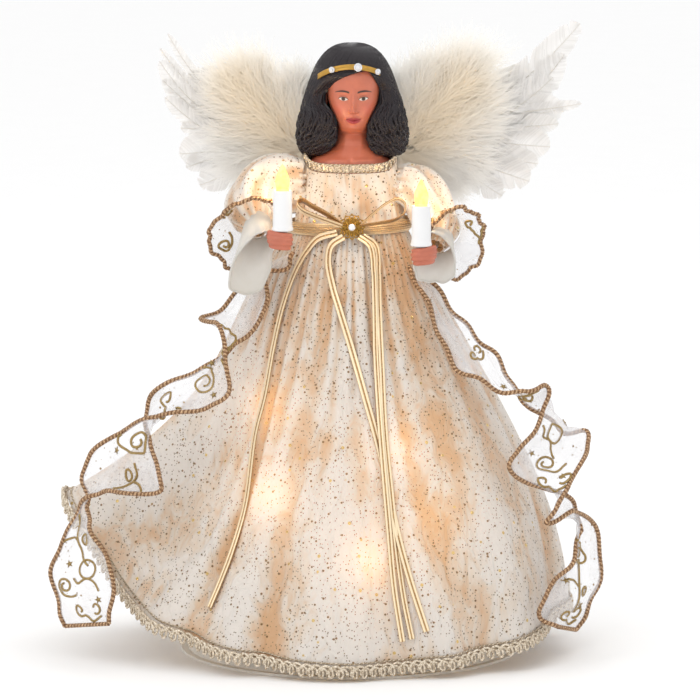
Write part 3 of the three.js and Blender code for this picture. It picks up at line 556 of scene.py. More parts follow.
def folds(turn, v):
    """Gathers at the waist that run together into broad folds at the hem, and their depth."""
    drift = 0.7 * np.sin(2 * turn + 3 * v) + 0.45 * np.sin(5 * turn - 3 * v) + 0.2 * np.sin(11 * turn + 5 * v)
    broad = np.cos(13 * turn + 2.2 * drift + 0.9)
    middle = np.cos(27 * turn + 3.5 * drift + 1.1 * v)
    gathers = np.cos(58 * turn + 2 * drift)
    wave = (step_up(v, 0.1, 0.95) * broad * 0.8 + step_up(v, 0.0, 0.2) * (1.1 - v) * middle * 0.75
            + (1 - step_up(v, 0.05, 0.5)) * gathers * 0.5)
    return wave, 0.9 + 2.9 * step_up(v, 0.1, 1.0)


def gown(u, v, proud=0.0):
    """Points of the folded gown, lifted proud of it, and the height of the fold at each."""
    shape, turn = gown_shape(u, v)
    wave, depth = folds(turn, np.asarray(v, float))
    return shape + outward(turn) * (wave * depth + 0.9 + proud)[..., None], wave


def glow_at(points):
    """How strongly the lamps behind the cloth light it, for its painted glow."""
    warm = np.zeros(points.shape[:-1])
    for spot in LAMP_SPOTS:
        away = np.linalg.norm((points - spot) * vec(1, 0.7, 0.9), axis=-1)
        warm += 0.9 * np.exp(-(away / 12) ** 2) + 0.3 * np.exp(-(away / 30) ** 2)
    return warm


def on_gown(x, z, proud):
    """Points on the front of the gown with the given x and z."""
    x, z = np.asarray(x, float), np.asarray(z, float)
    u, v = np.arctan2(x, 60.0) / (2 * np.pi), np.full_like(x, 0.5)
    step = 1e-4
    for _ in range(30):
        here = gown_shape(u, v)[0]
        along_u = (gown_shape(u + step, v)[0] - here) / step
        along_v = (gown_shape(u, v + step)[0] - here) / step
        across = along_u[..., 0] * along_v[..., 2] - along_u[..., 2] * along_v[..., 0]
        miss_x, miss_z = x - here[..., 0], z - here[..., 2]
        u = u + 0.8 * (miss_x * along_v[..., 2] - miss_z * along_v[..., 0]) / across
        v = np.clip(v + 0.8 * (along_u[..., 0] * miss_z - along_u[..., 2] * miss_x) / across, 0, 1)
    return gown(u, v, proud)[0]


def make_skirt():
    rows, columns = (150, 520) if FINE else (70, 260)
    v, turn = round_grid(rows, columns)
    v = v * (1 - BRAID_SHARE)
    points, wave = gown(turn / (2 * np.pi), v)
    heap = Heap()
    # The fold layer is painted shade and highlight: the folds, broad bands round the skirt, and more shade
    # near the waist; the glow layer is the painted glow of the lamps.
    bands = np.sin(5 * turn + 1.2) + 0.6 * np.sin(11 * turn + 0.5)
    shade_and_bands = 0.35 * bands - 0.75 * np.exp(-(v / 0.3) ** 2)
    heap.grid(points, loop_columns=True, fold=wave + shade_and_bands, glow=glow_at(points))
    skirt = heap.piece("gown_skirt", "figure", SATIN, "satin", instead="skirt")
    thicken(skirt, SKIRT_THICK)


def make_hem_braid():
    """Gimp braid: a corded upper edge, and below it two rows of scroll loops that scallop the lower edge."""
    heap = Heap()
    ring = np.linspace(0, 1, 1201)
    heap.twisted(even(gown(ring, np.full_like(ring, BRAID_TOP), 1.4)[0], 0.6), 0.5, 2.4)
    middle = even(gown(ring, np.full_like(ring, BRAID_MIDDLE), 1.7)[0], BRAID_STEP)
    ahead = unit(np.gradient(middle, axis=0))
    rise = unit(np.cross(np.cross(ahead, vec(0, 0, 1)), ahead))
    gone = np.arange(len(middle)) * BRAID_STEP
    for along, up, drop, start in ((2.3, 3.1, 0.4, 0), (1.3, 1.7, 0.3, 2.2)):
        turn = (gone * 2 * np.pi / BRAID_PITCH + start)[:, None]
        heap.tube(middle + ahead * along * np.sin(turn) + rise * (up * np.cos(turn) - drop), 0.78, sides=5)
    heap.piece("hem_braid", "figure", BRAID, "gold", instead="hem_trim")


# ---------------------------------------------------------------- bodice, neckline, sash
def oval(turn, x, y, middle_y):
    """A level ring with slightly squared corners, x and y its half sizes."""
    way = outward(turn)
    corner = 1 / (np.abs(way[..., 0]) ** 3 + np.abs(way[..., 1]) ** 3) ** (1 / 3)
    shape = way * vec(1, 1, 0) * (mix(1, corner, 0.6))[..., None]
    return np.stack([shape[..., 0] * x, middle_y + shape[..., 1] * y, 0 * turn], -1)


NECK = {"x": 23.6, "y": 15.2, "middle_y": -1.0, "z": 257.0}


def neck_rise(turn):
    """The neckline runs straight across the front and climbs steeply at the shoulders."""
    return 5.5 * np.abs(np.sin(turn)) ** 7 + (1 - np.cos(turn)) - 1.2


def make_bodice():
    v, turn = round_grid(60, 300)
    points = oval(turn, mix(WAIST["x"], NECK["x"] + 0.2, v), mix(WAIST["y"], NECK["y"] + 0.2, v),
                  mix(WAIST["middle_y"], NECK["middle_y"], v))
    points[..., 2] = mix(WAIST["z"] + 1, NECK["z"] - 0.2 + neck_rise(turn), v)
    tucks = np.cos(40 * turn + 2 * np.sin(3 * turn)) * (0.3 + 0.7 * (1 - v) ** 2)
    soft = np.sin(9 * turn + 4 * v) * np.sin(np.pi * v)
    points += outward(turn) * (0.45 * tucks + 0.7 * soft + 0.5)[..., None]
    heap = Heap()
    # Painted shade in the tucks and folds, and a faint painted glow towards the waist.
    heap.grid(points, loop_columns=True, fold=0.5 * tucks + 0.7 * soft - 0.3, glow=0.15 * (1 - v))
    thicken(heap.piece("gown_bodice", "figure", SATIN, "satin", instead="bodice"), SATIN_THICK)


def make_neckline():
    """Gimp braid round the square neckline: corded edges, a run of small loops, and beads of thread."""
    ring = np.linspace(0, 2 * np.pi, 721)
    heap = Heap()

    def level(height, proud):
        path = oval(ring, NECK["x"] + proud, NECK["y"] + proud, NECK["middle_y"])
        path[:, 2] = NECK["z"] + neck_rise(ring) + height
        return path

    for height in (0.6, 4.2):
        heap.twisted(level(height, 0.5), 0.6, 2.2)
    step, pitch = 0.4, 3.6
    middle = even(level(2.4, 0.7), step)
    ahead = unit(np.gradient(middle, axis=0))
    turn = np.arange(len(middle)) * step * 2 * np.pi / pitch
    loops = middle + ahead * (1.2 * np.sin(turn))[:, None]
    loops[:, 2] += 1.5 * np.cos(turn)
    heap.tube(loops, 0.5, sides=5)
    heap.grid(np.stack([level(height, 0.0) for height in (0.2, 4.5)]))
    heap.piece("neckline_braid", "figure", BRAID, "gold", instead="neckline_trim")


def make_sash():
    """A gathered ribbon round the waist: soft lengthwise pleats that pinch in behind the brooch."""
    v, turn = round_grid(36, 240)
    pinch = np.exp(-(np.minimum(turn, 2 * np.pi - turn) / 0.22) ** 2)
    height = 6.4 - 2.2 * pinch
    pleat = np.cos(v * 5.5 * 2 * np.pi + 0.8 * np.sin(4 * turn)) * np.sin(np.pi * v) ** 0.5
    swell = WAIST["x"] + 3.2 + 0.5 * pleat + 0.9 * np.sin(np.pi * v)
    depth = swell - WAIST["x"] + WAIST["y"]
    points = outward(turn) * np.stack([swell, depth, 0 * v], -1)
    points[..., 1] += WAIST["middle_y"]
    points[..., 2] = 227.2 + (v - 0.5) * height + 0.8 * np.sin(turn)
    heap = Heap()
    # Painted highlight and shade across the pleats, carried by the edge layer.
    heap.grid(points, loop_columns=True, edge=0.62 - 0.16 * pleat)
    thicken(heap.piece("waist_sash", "figure", RIBBON, "ribbon", instead="sash"), RIBBON_THICK)


# Place across, height and painted highlight of the points round a ribbon's section, its front first.
RIBBON_SECTION = [
    (-0.5, 0.3, 0), (-0.43, 1.0, 1), (-0.15, 1.0, 1), (-0.08, 0.4, 0), (0.08, 0.4, 0), (0.15, 1.0, 1),
    (0.43, 1.0, 1), (0.5, 0.3, 0), (0.5, -0.2, 0), (0, -0.2, 0), (-0.5, -0.2, 0),
]


def ribbon_strip(heap, path, across, width, thickness=0.5):
    """A ribbon with a painted highlight on its two raised bands, along a path."""
    front = unit(np.cross(unit(np.gradient(path, axis=0)), across))
    rows = [path + across * (side * width) + front * (lift * thickness) for side, lift, _ in RIBBON_SECTION]
    bright = np.array([row[2] for row in RIBBON_SECTION], float)
    heap.grid(np.stack(rows, 1), loop_columns=True, caps=True,
              edge=np.broadcast_to(bright, (len(path), len(bright))))


# x and height of each tail's strands as they lie on the front of the gown.
TAILS = {
    "left": ([(-6, 226), (-15, 222.5), (-20, 217), (-26, 206), (-32, 188), (-37, 167), (-42, 141), (-47, 121),
              (-54, 85), (-60, 62), (-66, 48), (-73, 33)],),
    "middle": ([(-3, 224), (-9, 219), (-10.5, 211), (-8.5, 198), (-5, 186), (1, 166), (8, 141), (15, 116),
                (19, 98), (23, 78), (29, 54), (38, 25)],),
    "right": ([(4, 224), (9, 219), (11, 205), (11.5, 192), (12.5, 166), (14, 140), (15.5, 119), (19, 79),
               (22, 48), (26.5, 20)],
              [(6, 224.5), (12, 219), (13.5, 205), (14, 190), (15.5, 158), (17.5, 125), (20.5, 95),
               (23, 72), (27, 43), (31.5, 21)]),
}


TAIL_PROUD = {"left": 2.2, "middle": 1.9, "right": 3.4}


def make_tails():
    for name, strands in TAILS.items():
        heap = Heap()
        for k, strand in enumerate(strands):
            points = np.array(strand, float)
            proud = TAIL_PROUD[name] - 1.2 * k
            start = np.exp(-np.arange(len(points)) * 1.2)
            path = on_gown(points[:, 0], points[:, 1], proud)
            path[:, 1] -= 3.2 * start
            path = route(path, 1.0)
            out = outward(np.arctan2(path[:, 0], -path[:, 1]))
            across = unit(np.cross(out, unit(np.gradient(path, axis=0))))
            ribbon_strip(heap, path, across, 3.7 if name != "right" else 3.1)
        heap.piece(f"tail_ribbon_{name}", "figure", RIBBON, "ribbon", instead=f"ribbon_tail_{name}")


BOWS = {
    "left": [(-4, -31, 230), (-12, -33, 236), (-20, -34, 240.5), (-25.5, -33, 243.5), (-27.5, -32, 241.5),
             (-25, -32, 238.2), (-17, -32.5, 234.5), (-9, -32, 231.5), (-4, -31, 229.5)],
    "right": [(5, -31, 230), (12, -33.5, 236.5), (19, -34.5, 242), (25, -35, 244.5), (28.8, -34.5, 241.5),
              (28.3, -34, 236.5), (24, -33.5, 233.4), (15, -32.5, 231.3), (5, -31, 229.6)],
}


def make_bows():
    for name, points in BOWS.items():
        path = route(points, 0.6)
        across = np.tile(unit(vec(0.1, -1, 0.75 if name == "left" else 0.5)), (len(path), 1))
        heap = Heap()
        ribbon_strip(heap, path, across, 5.0 if name == "left" else 4.4, thickness=0.45)
        heap.piece(f"bow_{name}", "figure", RIBBON, "ribbon", instead=f"bow_loop_{name}")


def facing(centre, turn, radius, back):
    """Points of an upright circle that faces the front; back is how far behind the centre it lies."""
    turn = np.asarray(turn, float)
    return np.stack([np.sin(turn) * radius, np.full_like(turn, back), np.cos(turn) * radius], -1) + centre


def make_brooch():
    """A filigree rosette: two rings of petals and beads round a clear stone."""
    centre = centre_of("brooch_setting")
    heap = Heap()
    circle = np.linspace(0, 2 * np.pi, 97)
    petal_turn = circle[::8]
    for count, radius, petal in ((12, 4.8, 1.5), (8, 3.0, 1.0)):
        for turn in 2 * np.pi * np.arange(count) / count:
            middle = facing(centre, turn, radius, -0.4)
            loop = np.stack([np.sin(petal_turn), 0.25 * np.cos(2 * petal_turn), np.cos(petal_turn)], -1)
            heap.tube(middle + loop * petal, 0.34, sides=5)
            heap.ball(facing(centre, turn, radius + petal + 0.3, 0), (0.5, 0.5, 0.5))
            heap.ball(middle + vec(0, -0.3, 0), (0.6, 0.5, 0.6))
    heap.twisted(facing(centre, circle, 2.15, -1.7), 0.42, 1.4)
    disc = [facing(centre, circle[:-1], r, back)
            for r, back in ((0.1, -0.3), (2.6, -0.3), (4.6, 0.7), (4.8, 1.3), (0.1, 1.3))]
    heap.grid(np.stack(disc), loop_columns=True, caps=True)
    heap.piece("brooch_rosette", "figure", POLISHED_GOLD, "gold", instead="brooch_setting")
    gem = Heap()
    gem_centre = vec(centre[0], centre_of("brooch_crystal")[1], centre[2])
    facets = [facing(gem_centre, petal_turn[:-1], r, back)
              for r, back in ((1.8, 0.7), (1.85, 0.1), (1.15, -0.8), (0.05, -0.8))]
    gem.grid(np.stack(facets), loop_columns=True, caps=True)
    gem.piece("brooch_stone", "figure", CRYSTAL, "crystal", instead="brooch_crystal", smooth=False)


# ---------------------------------------------------------------- organza cascades
# Each row is [inner edge, outer edge], from the waist to the hem.
CASCADES = {
    "left": [
        [(-30, -25, 215), (-46, -8, 206)], [(-32, -27, 209), (-53, -9, 200)],
        [(-43, -29, 205), (-58, -12, 194)], [(-43.5, -36, 192), (-68, -20, 184)],
        [(-48, -44, 179), (-78, -34, 180)], [(-58, -51, 172), (-69, -49, 182)],
        [(-67, -54, 164), (-65.5, -59, 169)], [(-80, -52, 156), (-64, -64, 157)],
        [(-95, -47, 149), (-63.5, -67, 145)], [(-106, -40, 138), (-74, -64, 139)],
        [(-107, -44, 128), (-91, -58, 135)], [(-104, -56, 118), (-108, -50, 130)],
        [(-101, -65, 107), (-123, -42, 121)], [(-97, -69, 96), (-135, -34, 110)],
        [(-114, -62, 93), (-141, -32, 98)], [(-130, -48, 92), (-139, -34, 89)],
        [(-141, -40, 85), (-138, -42, 81)], [(-146, -38, 73), (-136, -52, 73)],
        [(-153, -36, 59), (-128, -60, 61)], [(-157, -38, 46), (-124, -62, 51)],
        [(-154, -42, 31), (-125, -64, 37)], [(-150, -42, 19), (-126, -62, 24)],
    ],
    "right": [
        [(31, -27, 208), (34, -17, 209)], [(38, -36, 194), (43, -22, 198)],
        [(44, -44, 180), (52, -24, 186)], [(50, -50, 168), (61, -24, 177)],
        [(57, -55, 157), (69, -26, 168)], [(68, -58, 151), (77, -28, 159)],
        [(81, -58, 146), (84, -30, 149)], [(92, -54, 146), (90, -38, 139)],
        [(102, -46, 147), (101, -36, 130)], [(102, -48, 137), (112, -32, 121)],
        [(97, -56, 126), (124, -30, 121)], [(88, -62, 116), (125, -38, 114)],
        [(82, -67, 108), (120, -48, 106)], [(94, -62, 98), (115, -58, 98)],
        [(111, -48, 91), (109, -66, 89)], [(119, -40, 82), (103, -68, 79)],
        [(121, -44, 69), (116, -56, 82)], [(117, -52, 56), (128, -32, 72)],
        [(107, -62, 47), (132, -28, 55)], [(100, -68, 37), (131, -30, 40)],
        [(101, -66, 27), (127, -34, 28)], [(109, -60, 22), (119, -42, 17)],
    ],
}


def cascade_at(name, u, v):
    """A point of the cascade, slightly cupped and rippled: u runs down it, v across it."""
    u, v = np.broadcast_arrays(np.asarray(u, float), np.asarray(v, float))
    inner, outer = zip(*CASCADES[name])
    a, b = spline(inner, u), spline(outer, u)
    step = 1e-3
    ahead = spline(inner, u + step) + spline(outer, u + step) - a - b
    out = unit(np.cross(unit(b - a + 1e-6), unit(ahead + 1e-9)))
    width = np.linalg.norm(b - a, axis=-1)
    ripple = 0.09 * width * np.sin(np.pi * v) * np.sin(26 * u) + 0.8 * np.cos(6 * np.pi * v + 40 * u)
    frill = 1.1 * np.sin(75 * u) * np.abs(2 * v - 1) ** 2
    ends = np.clip(np.minimum(u, 1 - u) * 30, 0, 1)
    lift = (ripple + frill) * ends * np.clip(width / 12, 0, 1)
    return mix(a, b, v[..., None]) + out * lift[..., None]


def arc(x, y, radius, start, end, count=30, shrink=1.0):
    """Part of a circle in turns, or a spiral if the radius shrinks on the way."""
    turn = 2 * np.pi * np.linspace(start, end, count)
    size = radius * np.linspace(1, shrink, count)
    return np.stack([x + size * np.cos(turn), y + size * np.sin(turn)], -1)


def bow_line(*points):
    """A smooth flat line through the points."""
    return spline([(x, y, 0) for x, y in points], np.linspace(0, 1, 40))[:, :2]


# Embroidered scroll shapes, about two units across.
MOTIFS = {
    "ring": [arc(0, 0.2, 0.75, 0, 1),
             bow_line((-1.3, -1.3), (-0.7, -0.8), (0, -0.55), (0.9, -0.9), (1.5, -0.6))],
    "spiral": [np.vstack([bow_line((1.3, 0.9), (0.4, 1.0), (-0.3, 0.75), (-0.75, 0.1)),
                          arc(0, 0, 0.75, 0.5, 1.75, 44, 0.3)])],
    "fork": [bow_line((-1.4, -0.9), (-0.4, -0.35), (0.5, 0.2), (1.5, 1.0)),
             bow_line((0.2, 0.0), (0.75, -0.2), (1.3, -0.85)), arc(-0.3, 0.35, 0.3, 0, 1, 20)],
    "curls": [np.vstack([bow_line((-1.5, 0.2), (-0.8, -0.4), (0.0, -0.2)),
                         arc(0.45, 0.1, 0.5, 0.62, 1.6, 36, 0.35)]),
              arc(-0.95, 0.55, 0.35, 0, 0.8, 24)],
}


THREAD_RADIUS = 0.7


def draw_motif(heap, surface, u, v, kind, size, angle):
    """Draws a motif of a size in millimetres on a surface, round the point u, v."""
    step = 1e-3
    here = surface(u, v)
    along, across = (surface(u + step, v) - here) / step, (surface(u, v + step) - here) / step
    out = unit(np.cross(across, along))
    right = unit(np.cross(vec(0, 0, 1), out))
    up = np.cross(out, right)
    lay = np.linalg.inv(np.array([[along @ right, across @ right], [along @ up, across @ up]]))
    c, s = math.cos(angle), math.sin(angle)
    for shape in MOTIFS[kind]:
        drawn = np.stack([shape[:, 0] * c - shape[:, 1] * s, shape[:, 0] * s + shape[:, 1] * c]) * size
        move = lay @ drawn
        path = surface(u + move[0], np.clip(v + move[1], 0.06, 0.94)) + out * 0.3
        heap.tube(even(path, 0.6), THREAD_RADIUS)


def draw_star(heap, middle, out, size):
    """A flat star of five points that faces out."""
    side = unit(np.cross(out, vec(0, 0.1, 1)))
    up = np.cross(side, out)
    turn = np.linspace(0, 2 * np.pi, 10, endpoint=False)
    reach = np.where(np.arange(10) % 2 == 0, size, 0.42 * size)[:, None]
    ring = (side * np.cos(turn)[:, None] + up * np.sin(turn)[:, None]) * reach
    heap.grid(np.stack([middle + ring - out * 0.2, middle + ring + out * 0.2]), loop_columns=True, caps=True)


# Scrolls on the cascades: place along and across the ribbon, shape, size in millimetres and angle.
SCROLLS = {
    "left": [(0.265, 0.55, "ring", 9.5, 0.3), (0.36, 0.5, "spiral", 8.5, 0.2), (0.44, 0.45, "curls", 8, 0.6),
             (0.55, 0.5, "spiral", 9, 2.2), (0.635, 0.4, "fork", 8.5, 0.2), (0.84, 0.45, "fork", 9.5, 0.5),
             (0.9, 0.65, "ring", 6.5, 0), (0.925, 0.25, "spiral", 6, 3), (0.975, 0.5, "curls", 8, 0.1)],
    "right": [(0.2, 0.5, "curls", 6, 0.3), (0.34, 0.5, "spiral", 5.5, 0.2), (0.49, 0.4, "ring", 6.5, 0.8),
              (0.56, 0.55, "spiral", 8, 2.4), (0.62, 0.45, "curls", 8, 0.2), (0.83, 0.45, "spiral", 7, 0.3),
              (0.9, 0.55, "fork", 8.5, 1.2), (0.965, 0.5, "curls", 7, 0.4)],
}
STAR_SIZE = 2.2
STARS = {
    "left": [(0.31, 0.2), (0.385, 0.8), (0.48, 0.3), (0.59, 0.75), (0.7, 0.3), (0.885, 0.35), (0.95, 0.8)],
    "right": [(0.28, 0.5), (0.45, 0.6), (0.53, 0.25), (0.6, 0.8), (0.87, 0.25), (0.94, 0.7)],
}


CORD_PITCH, SIDE_CORD, END_CORD = 2.2, 1.3, 1.2


def make_cascade(name):
    """A long organza ribbon with a corded edge, scrolls and stars."""
    def surface(u, v):
        return cascade_at(name, u, v)

    points = surface(*sheet_grid(420 if FINE else 160, 19))
    cloth = Heap()
    cloth.grid(points)
    sheet = cloth.piece(f"cascade_{name}", "figure", ORGANZA, "organza", instead=f"drape_{name}")
    thicken(sheet, ORGANZA_THICK)

    edge = Heap()
    for v in (0.0, 1.0):
        edge.twisted(even(surface(np.linspace(0, 1, 900), v), 0.5), SIDE_CORD, CORD_PITCH)
    edge.twisted(even(surface(1.0, np.linspace(0, 1, 60)), 0.5), END_CORD, CORD_PITCH)
    cords = edge.piece(f"cascade_cords_{name}", "figure", EDGE_CORD, "gold")

    thread = Heap()
    for u, v, kind, size, angle in SCROLLS[name]:
        draw_motif(thread, surface, u, v, kind, size, angle)
    for u, v in STARS[name]:
        here = surface(u, v)
        out = unit(np.cross(surface(u + 0.004, v) - here, surface(u, v + 0.05) - here))
        draw_star(thread, here, out, STAR_SIZE)
    scrolls = thread.piece(f"cascade_scrolls_{name}", "figure", SCROLL_THREAD, "gold")


# ---------------------------------------------------------------- sleeves, cuffs, hands, candles
# The sleeve's path and radii, then a ring's middle and radius and a free rim for the ruffle and the cuff.
ARMS = {
    "left": {
        "sleeve": [(-23, 0, 250), (-29.5, -1, 248.5), (-36, -4, 250), (-44, -9, 246.5), (-50, -17, 240.5),
                   (-51.5, -26, 235), (-49.5, -34, 231), (-47, -39, 229)],
        "radii": [9.5, 14.7, 15, 15.2, 13.8, 11.5, 7.5, 4.5],
        "ruffle_from": ((-51, -31, 234.5), 10),
        "ruffle_to": [(-52, -46, 245.5), (-41, -44, 243.5), (-37, -36, 230), (-46, -27, 214),
                      (-60, -20, 204.5), (-66.5, -26, 210), (-74, -36, 223.5), (-66, -44, 238)],
        "cuff_from": ((-48, -36, 231), 7),
        "cuff_to": [(-45, -48, 229), (-41, -45, 228), (-40.5, -42, 222), (-42, -40, 208), (-50, -41, 195),
                    (-62, -44, 199), (-61, -49, 212), (-53, -50, 224)],
    },
    "right": {
        "sleeve": [(23, 0, 249), (29, -1, 247), (35, -4, 246), (39.5, -10, 242), (43.5, -18, 235.5),
                   (46.5, -26, 229), (46.5, -34, 224), (44.5, -39, 220)],
        "radii": [9, 12.5, 12.8, 12.2, 11.2, 10, 7, 4.5],
        "ruffle_from": ((48.5, -31, 228), 9.5),
        "ruffle_to": [(48, -46, 237), (56.5, -44, 241), (66, -38, 236), (69.5, -32, 228), (66, -24, 208),
                      (52, -24, 201), (42, -32, 212), (41.5, -42, 228)],
        "cuff_from": ((47, -36, 223), 7),
        "cuff_to": [(41, -47, 228), (48, -46, 226), (54, -43, 216), (54, -41, 205), (45, -41, 201),
                    (36, -44, 204), (33, -47, 211), (35, -48, 221)],
    },
}


def limb(points, radii, rows, columns):
    """Round sections along a path, as an array of rows and columns, with the way out of each."""
    shares = np.linspace(0, 1, rows)
    path = spline(points, shares)
    sizes = spline([(r, 0, 0) for r in radii], shares)[:, 0]
    side, up = frames(path)
    turn = np.linspace(0, 2 * np.pi, columns, endpoint=False)
    out = side[:, None] * np.cos(turn)[None, :, None] + up[:, None] * np.sin(turn)[None, :, None]
    return path[:, None] + out * sizes[:, None, None], out, turn


def make_sleeve(name, arm):
    rows, columns = 90, 160
    points, out, turn = limb(arm["sleeve"], arm["radii"], rows, columns)
    v = np.linspace(0, 1, rows)[:, None]
    gather = np.cos(17 * turn + 3 * np.sin(2 * turn))[None] * (np.abs(2 * v - 1) ** 1.5)
    puff = np.cos(5 * turn + 5 * v + 0.7) * np.sin(np.pi * v) + 0.6 * np.cos(9 * turn - 7 * v)
    points = points + out * ((0.9 * gather + 1.3 * puff) * np.clip(4 - 4 * v, 0.3, 1))[..., None]
    flame = centre_of(f"flame_bulb_{name}")
    # The candle flame's light is painted on the sleeve as a glow, and its gathers and puffs as painted shade
    # and highlight.
    warm = 1.3 * np.exp(-(np.linalg.norm((points - flame) * vec(1, 0.6, 0.8), axis=-1) / 17) ** 2)
    heap = Heap()
    heap.grid(points, loop_columns=True, fold=0.8 * gather + 0.8 * puff - 0.35, glow=warm)
    sleeve = heap.piece(f"puff_sleeve_{name}", f"arm_{name}", SATIN, "satin", instead=f"sleeve_{name}")
    thicken(sleeve, SATIN_THICK)


def flounce(inner, outer_points, rows, columns, ripples, depth, phase=0.0):
    """Cloth that flares from a small ring to a free rim, with ripples that grow towards the rim."""
    middle, radius = inner
    u = np.arange(columns) / columns
    outer = spline(outer_points, u, loop=True)
    turn = 2 * np.pi * u * np.sign(outer_points[2][0] - outer_points[6][0])
    start = np.stack([np.sin(turn), 0 * turn, np.cos(turn)], -1) * radius + np.array(middle)
    v = np.linspace(0, 1, rows)[:, None, None]
    shape = start * (1 - v) + outer * v
    shape[..., 1] -= (3.0 * np.sin(np.pi * v))[..., 0]
    out = unit(outer - np.array(middle))
    wave = np.sin(ripples * 2 * np.pi * u + phase) + 0.5 * np.sin(2.3 * ripples * 2 * np.pi * u)
    return shape + out[None] * (wave * depth)[None, :, None] * v**1.5


def make_ruffle(name, arm):
    rows, columns = 26, 200
    points = flounce(arm["ruffle_from"], arm["ruffle_to"], rows, columns, 9, 0.9)
    cloth = Heap()
    cloth.grid(points, loop_columns=True)
    body = f"arm_{name}"
    sheet = cloth.piece(f"sleeve_flounce_{name}", body, ORGANZA, "organza", instead=f"sleeve_ruffle_{name}")
    thicken(sheet, ORGANZA_THICK)
    edge = Heap()
    edge.twisted(even(closed(points[-1]), 0.5), END_CORD, CORD_PITCH)
    cords = edge.piece(f"sleeve_cord_{name}", body, EDGE_CORD, "gold")
    thread = Heap()

    def surface(u, v):
        column = (np.asarray(u) % 1.0) * columns
        row = np.clip(np.asarray(v), 0, 1) * (rows - 1)
        low, left = np.minimum(row.astype(int), rows - 2), column.astype(int)
        down, across = (row - low)[..., None], (column - left)[..., None]
        near = mix(points[low, left % columns], points[low + 1, left % columns], down)
        far = mix(points[low, (left + 1) % columns], points[low + 1, (left + 1) % columns], down)
        return mix(near, far, across) - vec(0, 0.4, 0)

    for u, kind in ((0.02, "curls"), (0.3, "curls"), (0.66, "spiral"), (0.88, "curls")):
        draw_motif(thread, surface, u, 0.6, kind, 4.9, 0.4 + u)
    scrolls = thread.piece(f"sleeve_scrolls_{name}", body, SCROLL_THREAD, "gold")


def make_cuff(name, arm):
    points = flounce(arm["cuff_from"], arm["cuff_to"], 30, 160, 5, 0.7, phase=1.0)
    heap = Heap()
    heap.grid(points, loop_columns=True)
    heap.tube(even(closed(points[-1]), 0.6), 0.45)
    cuff = heap.piece(f"bell_cuff_{name}", f"arm_{name}", IVORY, "ivory", instead=f"cuff_{name}")
    thicken(cuff, IVORY_THICK)


def melt_together(piece, voxel):
    """Melts a piece's overlapping solids into one smooth skin."""
    melt = piece.modifiers.new("melt", "REMESH")
    melt.mode = "VOXEL"
    melt.voxel_size = voxel * MM
    melt.use_smooth_shade = True
    soft = piece.modifiers.new("soften", "SMOOTH")
    soft.factor = 0.5
    soft.iterations = 4


CANDLE_HEIGHT = 21.0


def make_hand(name):
    """A fist round the candle's foot: four stacked fingers, a thumb over them, and the wrist."""
    side = SIDES[name]
    candle = centre_of(f"candle_{name}")
    top = top_of(f"candle_{name}") - CANDLE_HEIGHT
    heap = Heap()
    middle = vec(candle[0] + 1.2 * side, candle[1] + 1.5, top - 5.0)
    # The fist and wrist are darkened with painted shade, the wrist the most.
    heap.ball(middle + vec(side * 1.5, 1.0, 0), (5.2, 4.8, 4.6), 12, 16, dusk=0.4)
    for k, reach in enumerate((5.7, 6.1, 5.8, 4.9)):
        z = top - 1.7 - 2.25 * k
        turn = np.radians(np.linspace(100, -85, 16)) * side
        finger = middle + outward(turn) * vec(reach, reach - 0.2, 0)
        finger[:, 2] = z + np.linspace(0.9, -0.9, 16)
        finger = even(finger, 0.8)
        size = np.interp(np.linspace(0, 1, len(finger)), [0, 0.15, 0.8, 1], [1.0, 1.45, 1.35, 0.9])
        heap.tube(finger, size, sides=10, dusk=0.4)
    thumb = route([middle + vec(side * 4.5, 1.5, 3.0), middle + vec(side * 2.5, -4.6, 3.8),
                   middle + vec(-side * 1.5, -6.2, 2.8)], 0.7)
    heap.tube(thumb, np.linspace(1.7, 1.1, len(thumb)), sides=10, dusk=0.4)
    heap.ball(thumb[-1], (1.2, 1.2, 1.2), 6, 10, dusk=0.4)
    wrist = route([middle + vec(side * 2.0, 1.5, 0), middle + vec(side * 3.0, 6.0, 0.3),
                   middle + vec(side * 4.5, 11.0, 1.0)], 0.8)
    heap.tube(wrist, np.linspace(4.0, 3.2, len(wrist)), sides=14, dusk=0.8)
    hand = heap.piece(f"fist_{name}", f"arm_{name}", SKIN, "skin", instead=f"hand_{name}")
    melt_together(hand, 0.32 if FINE else 0.5)


def turned(heap, middle, pairs, columns, axis=(0, 0, 1)):
    """A turned shape from (radius, height) pairs about an axis, upright unless given."""
    turn = np.linspace(0, 2 * np.pi, columns, endpoint=False)
    up = unit(axis)
    side = unit(np.cross(up, vec(0, 1, 0.3)))
    other = np.cross(up, side)
    way = side * np.cos(turn)[:, None] + other * np.sin(turn)[:, None]
    rings = [np.asarray(middle) + way * max(r, 0.01) + up * h for r, h in pairs]
    heap.grid(np.stack(rings), loop_columns=True, caps=True)


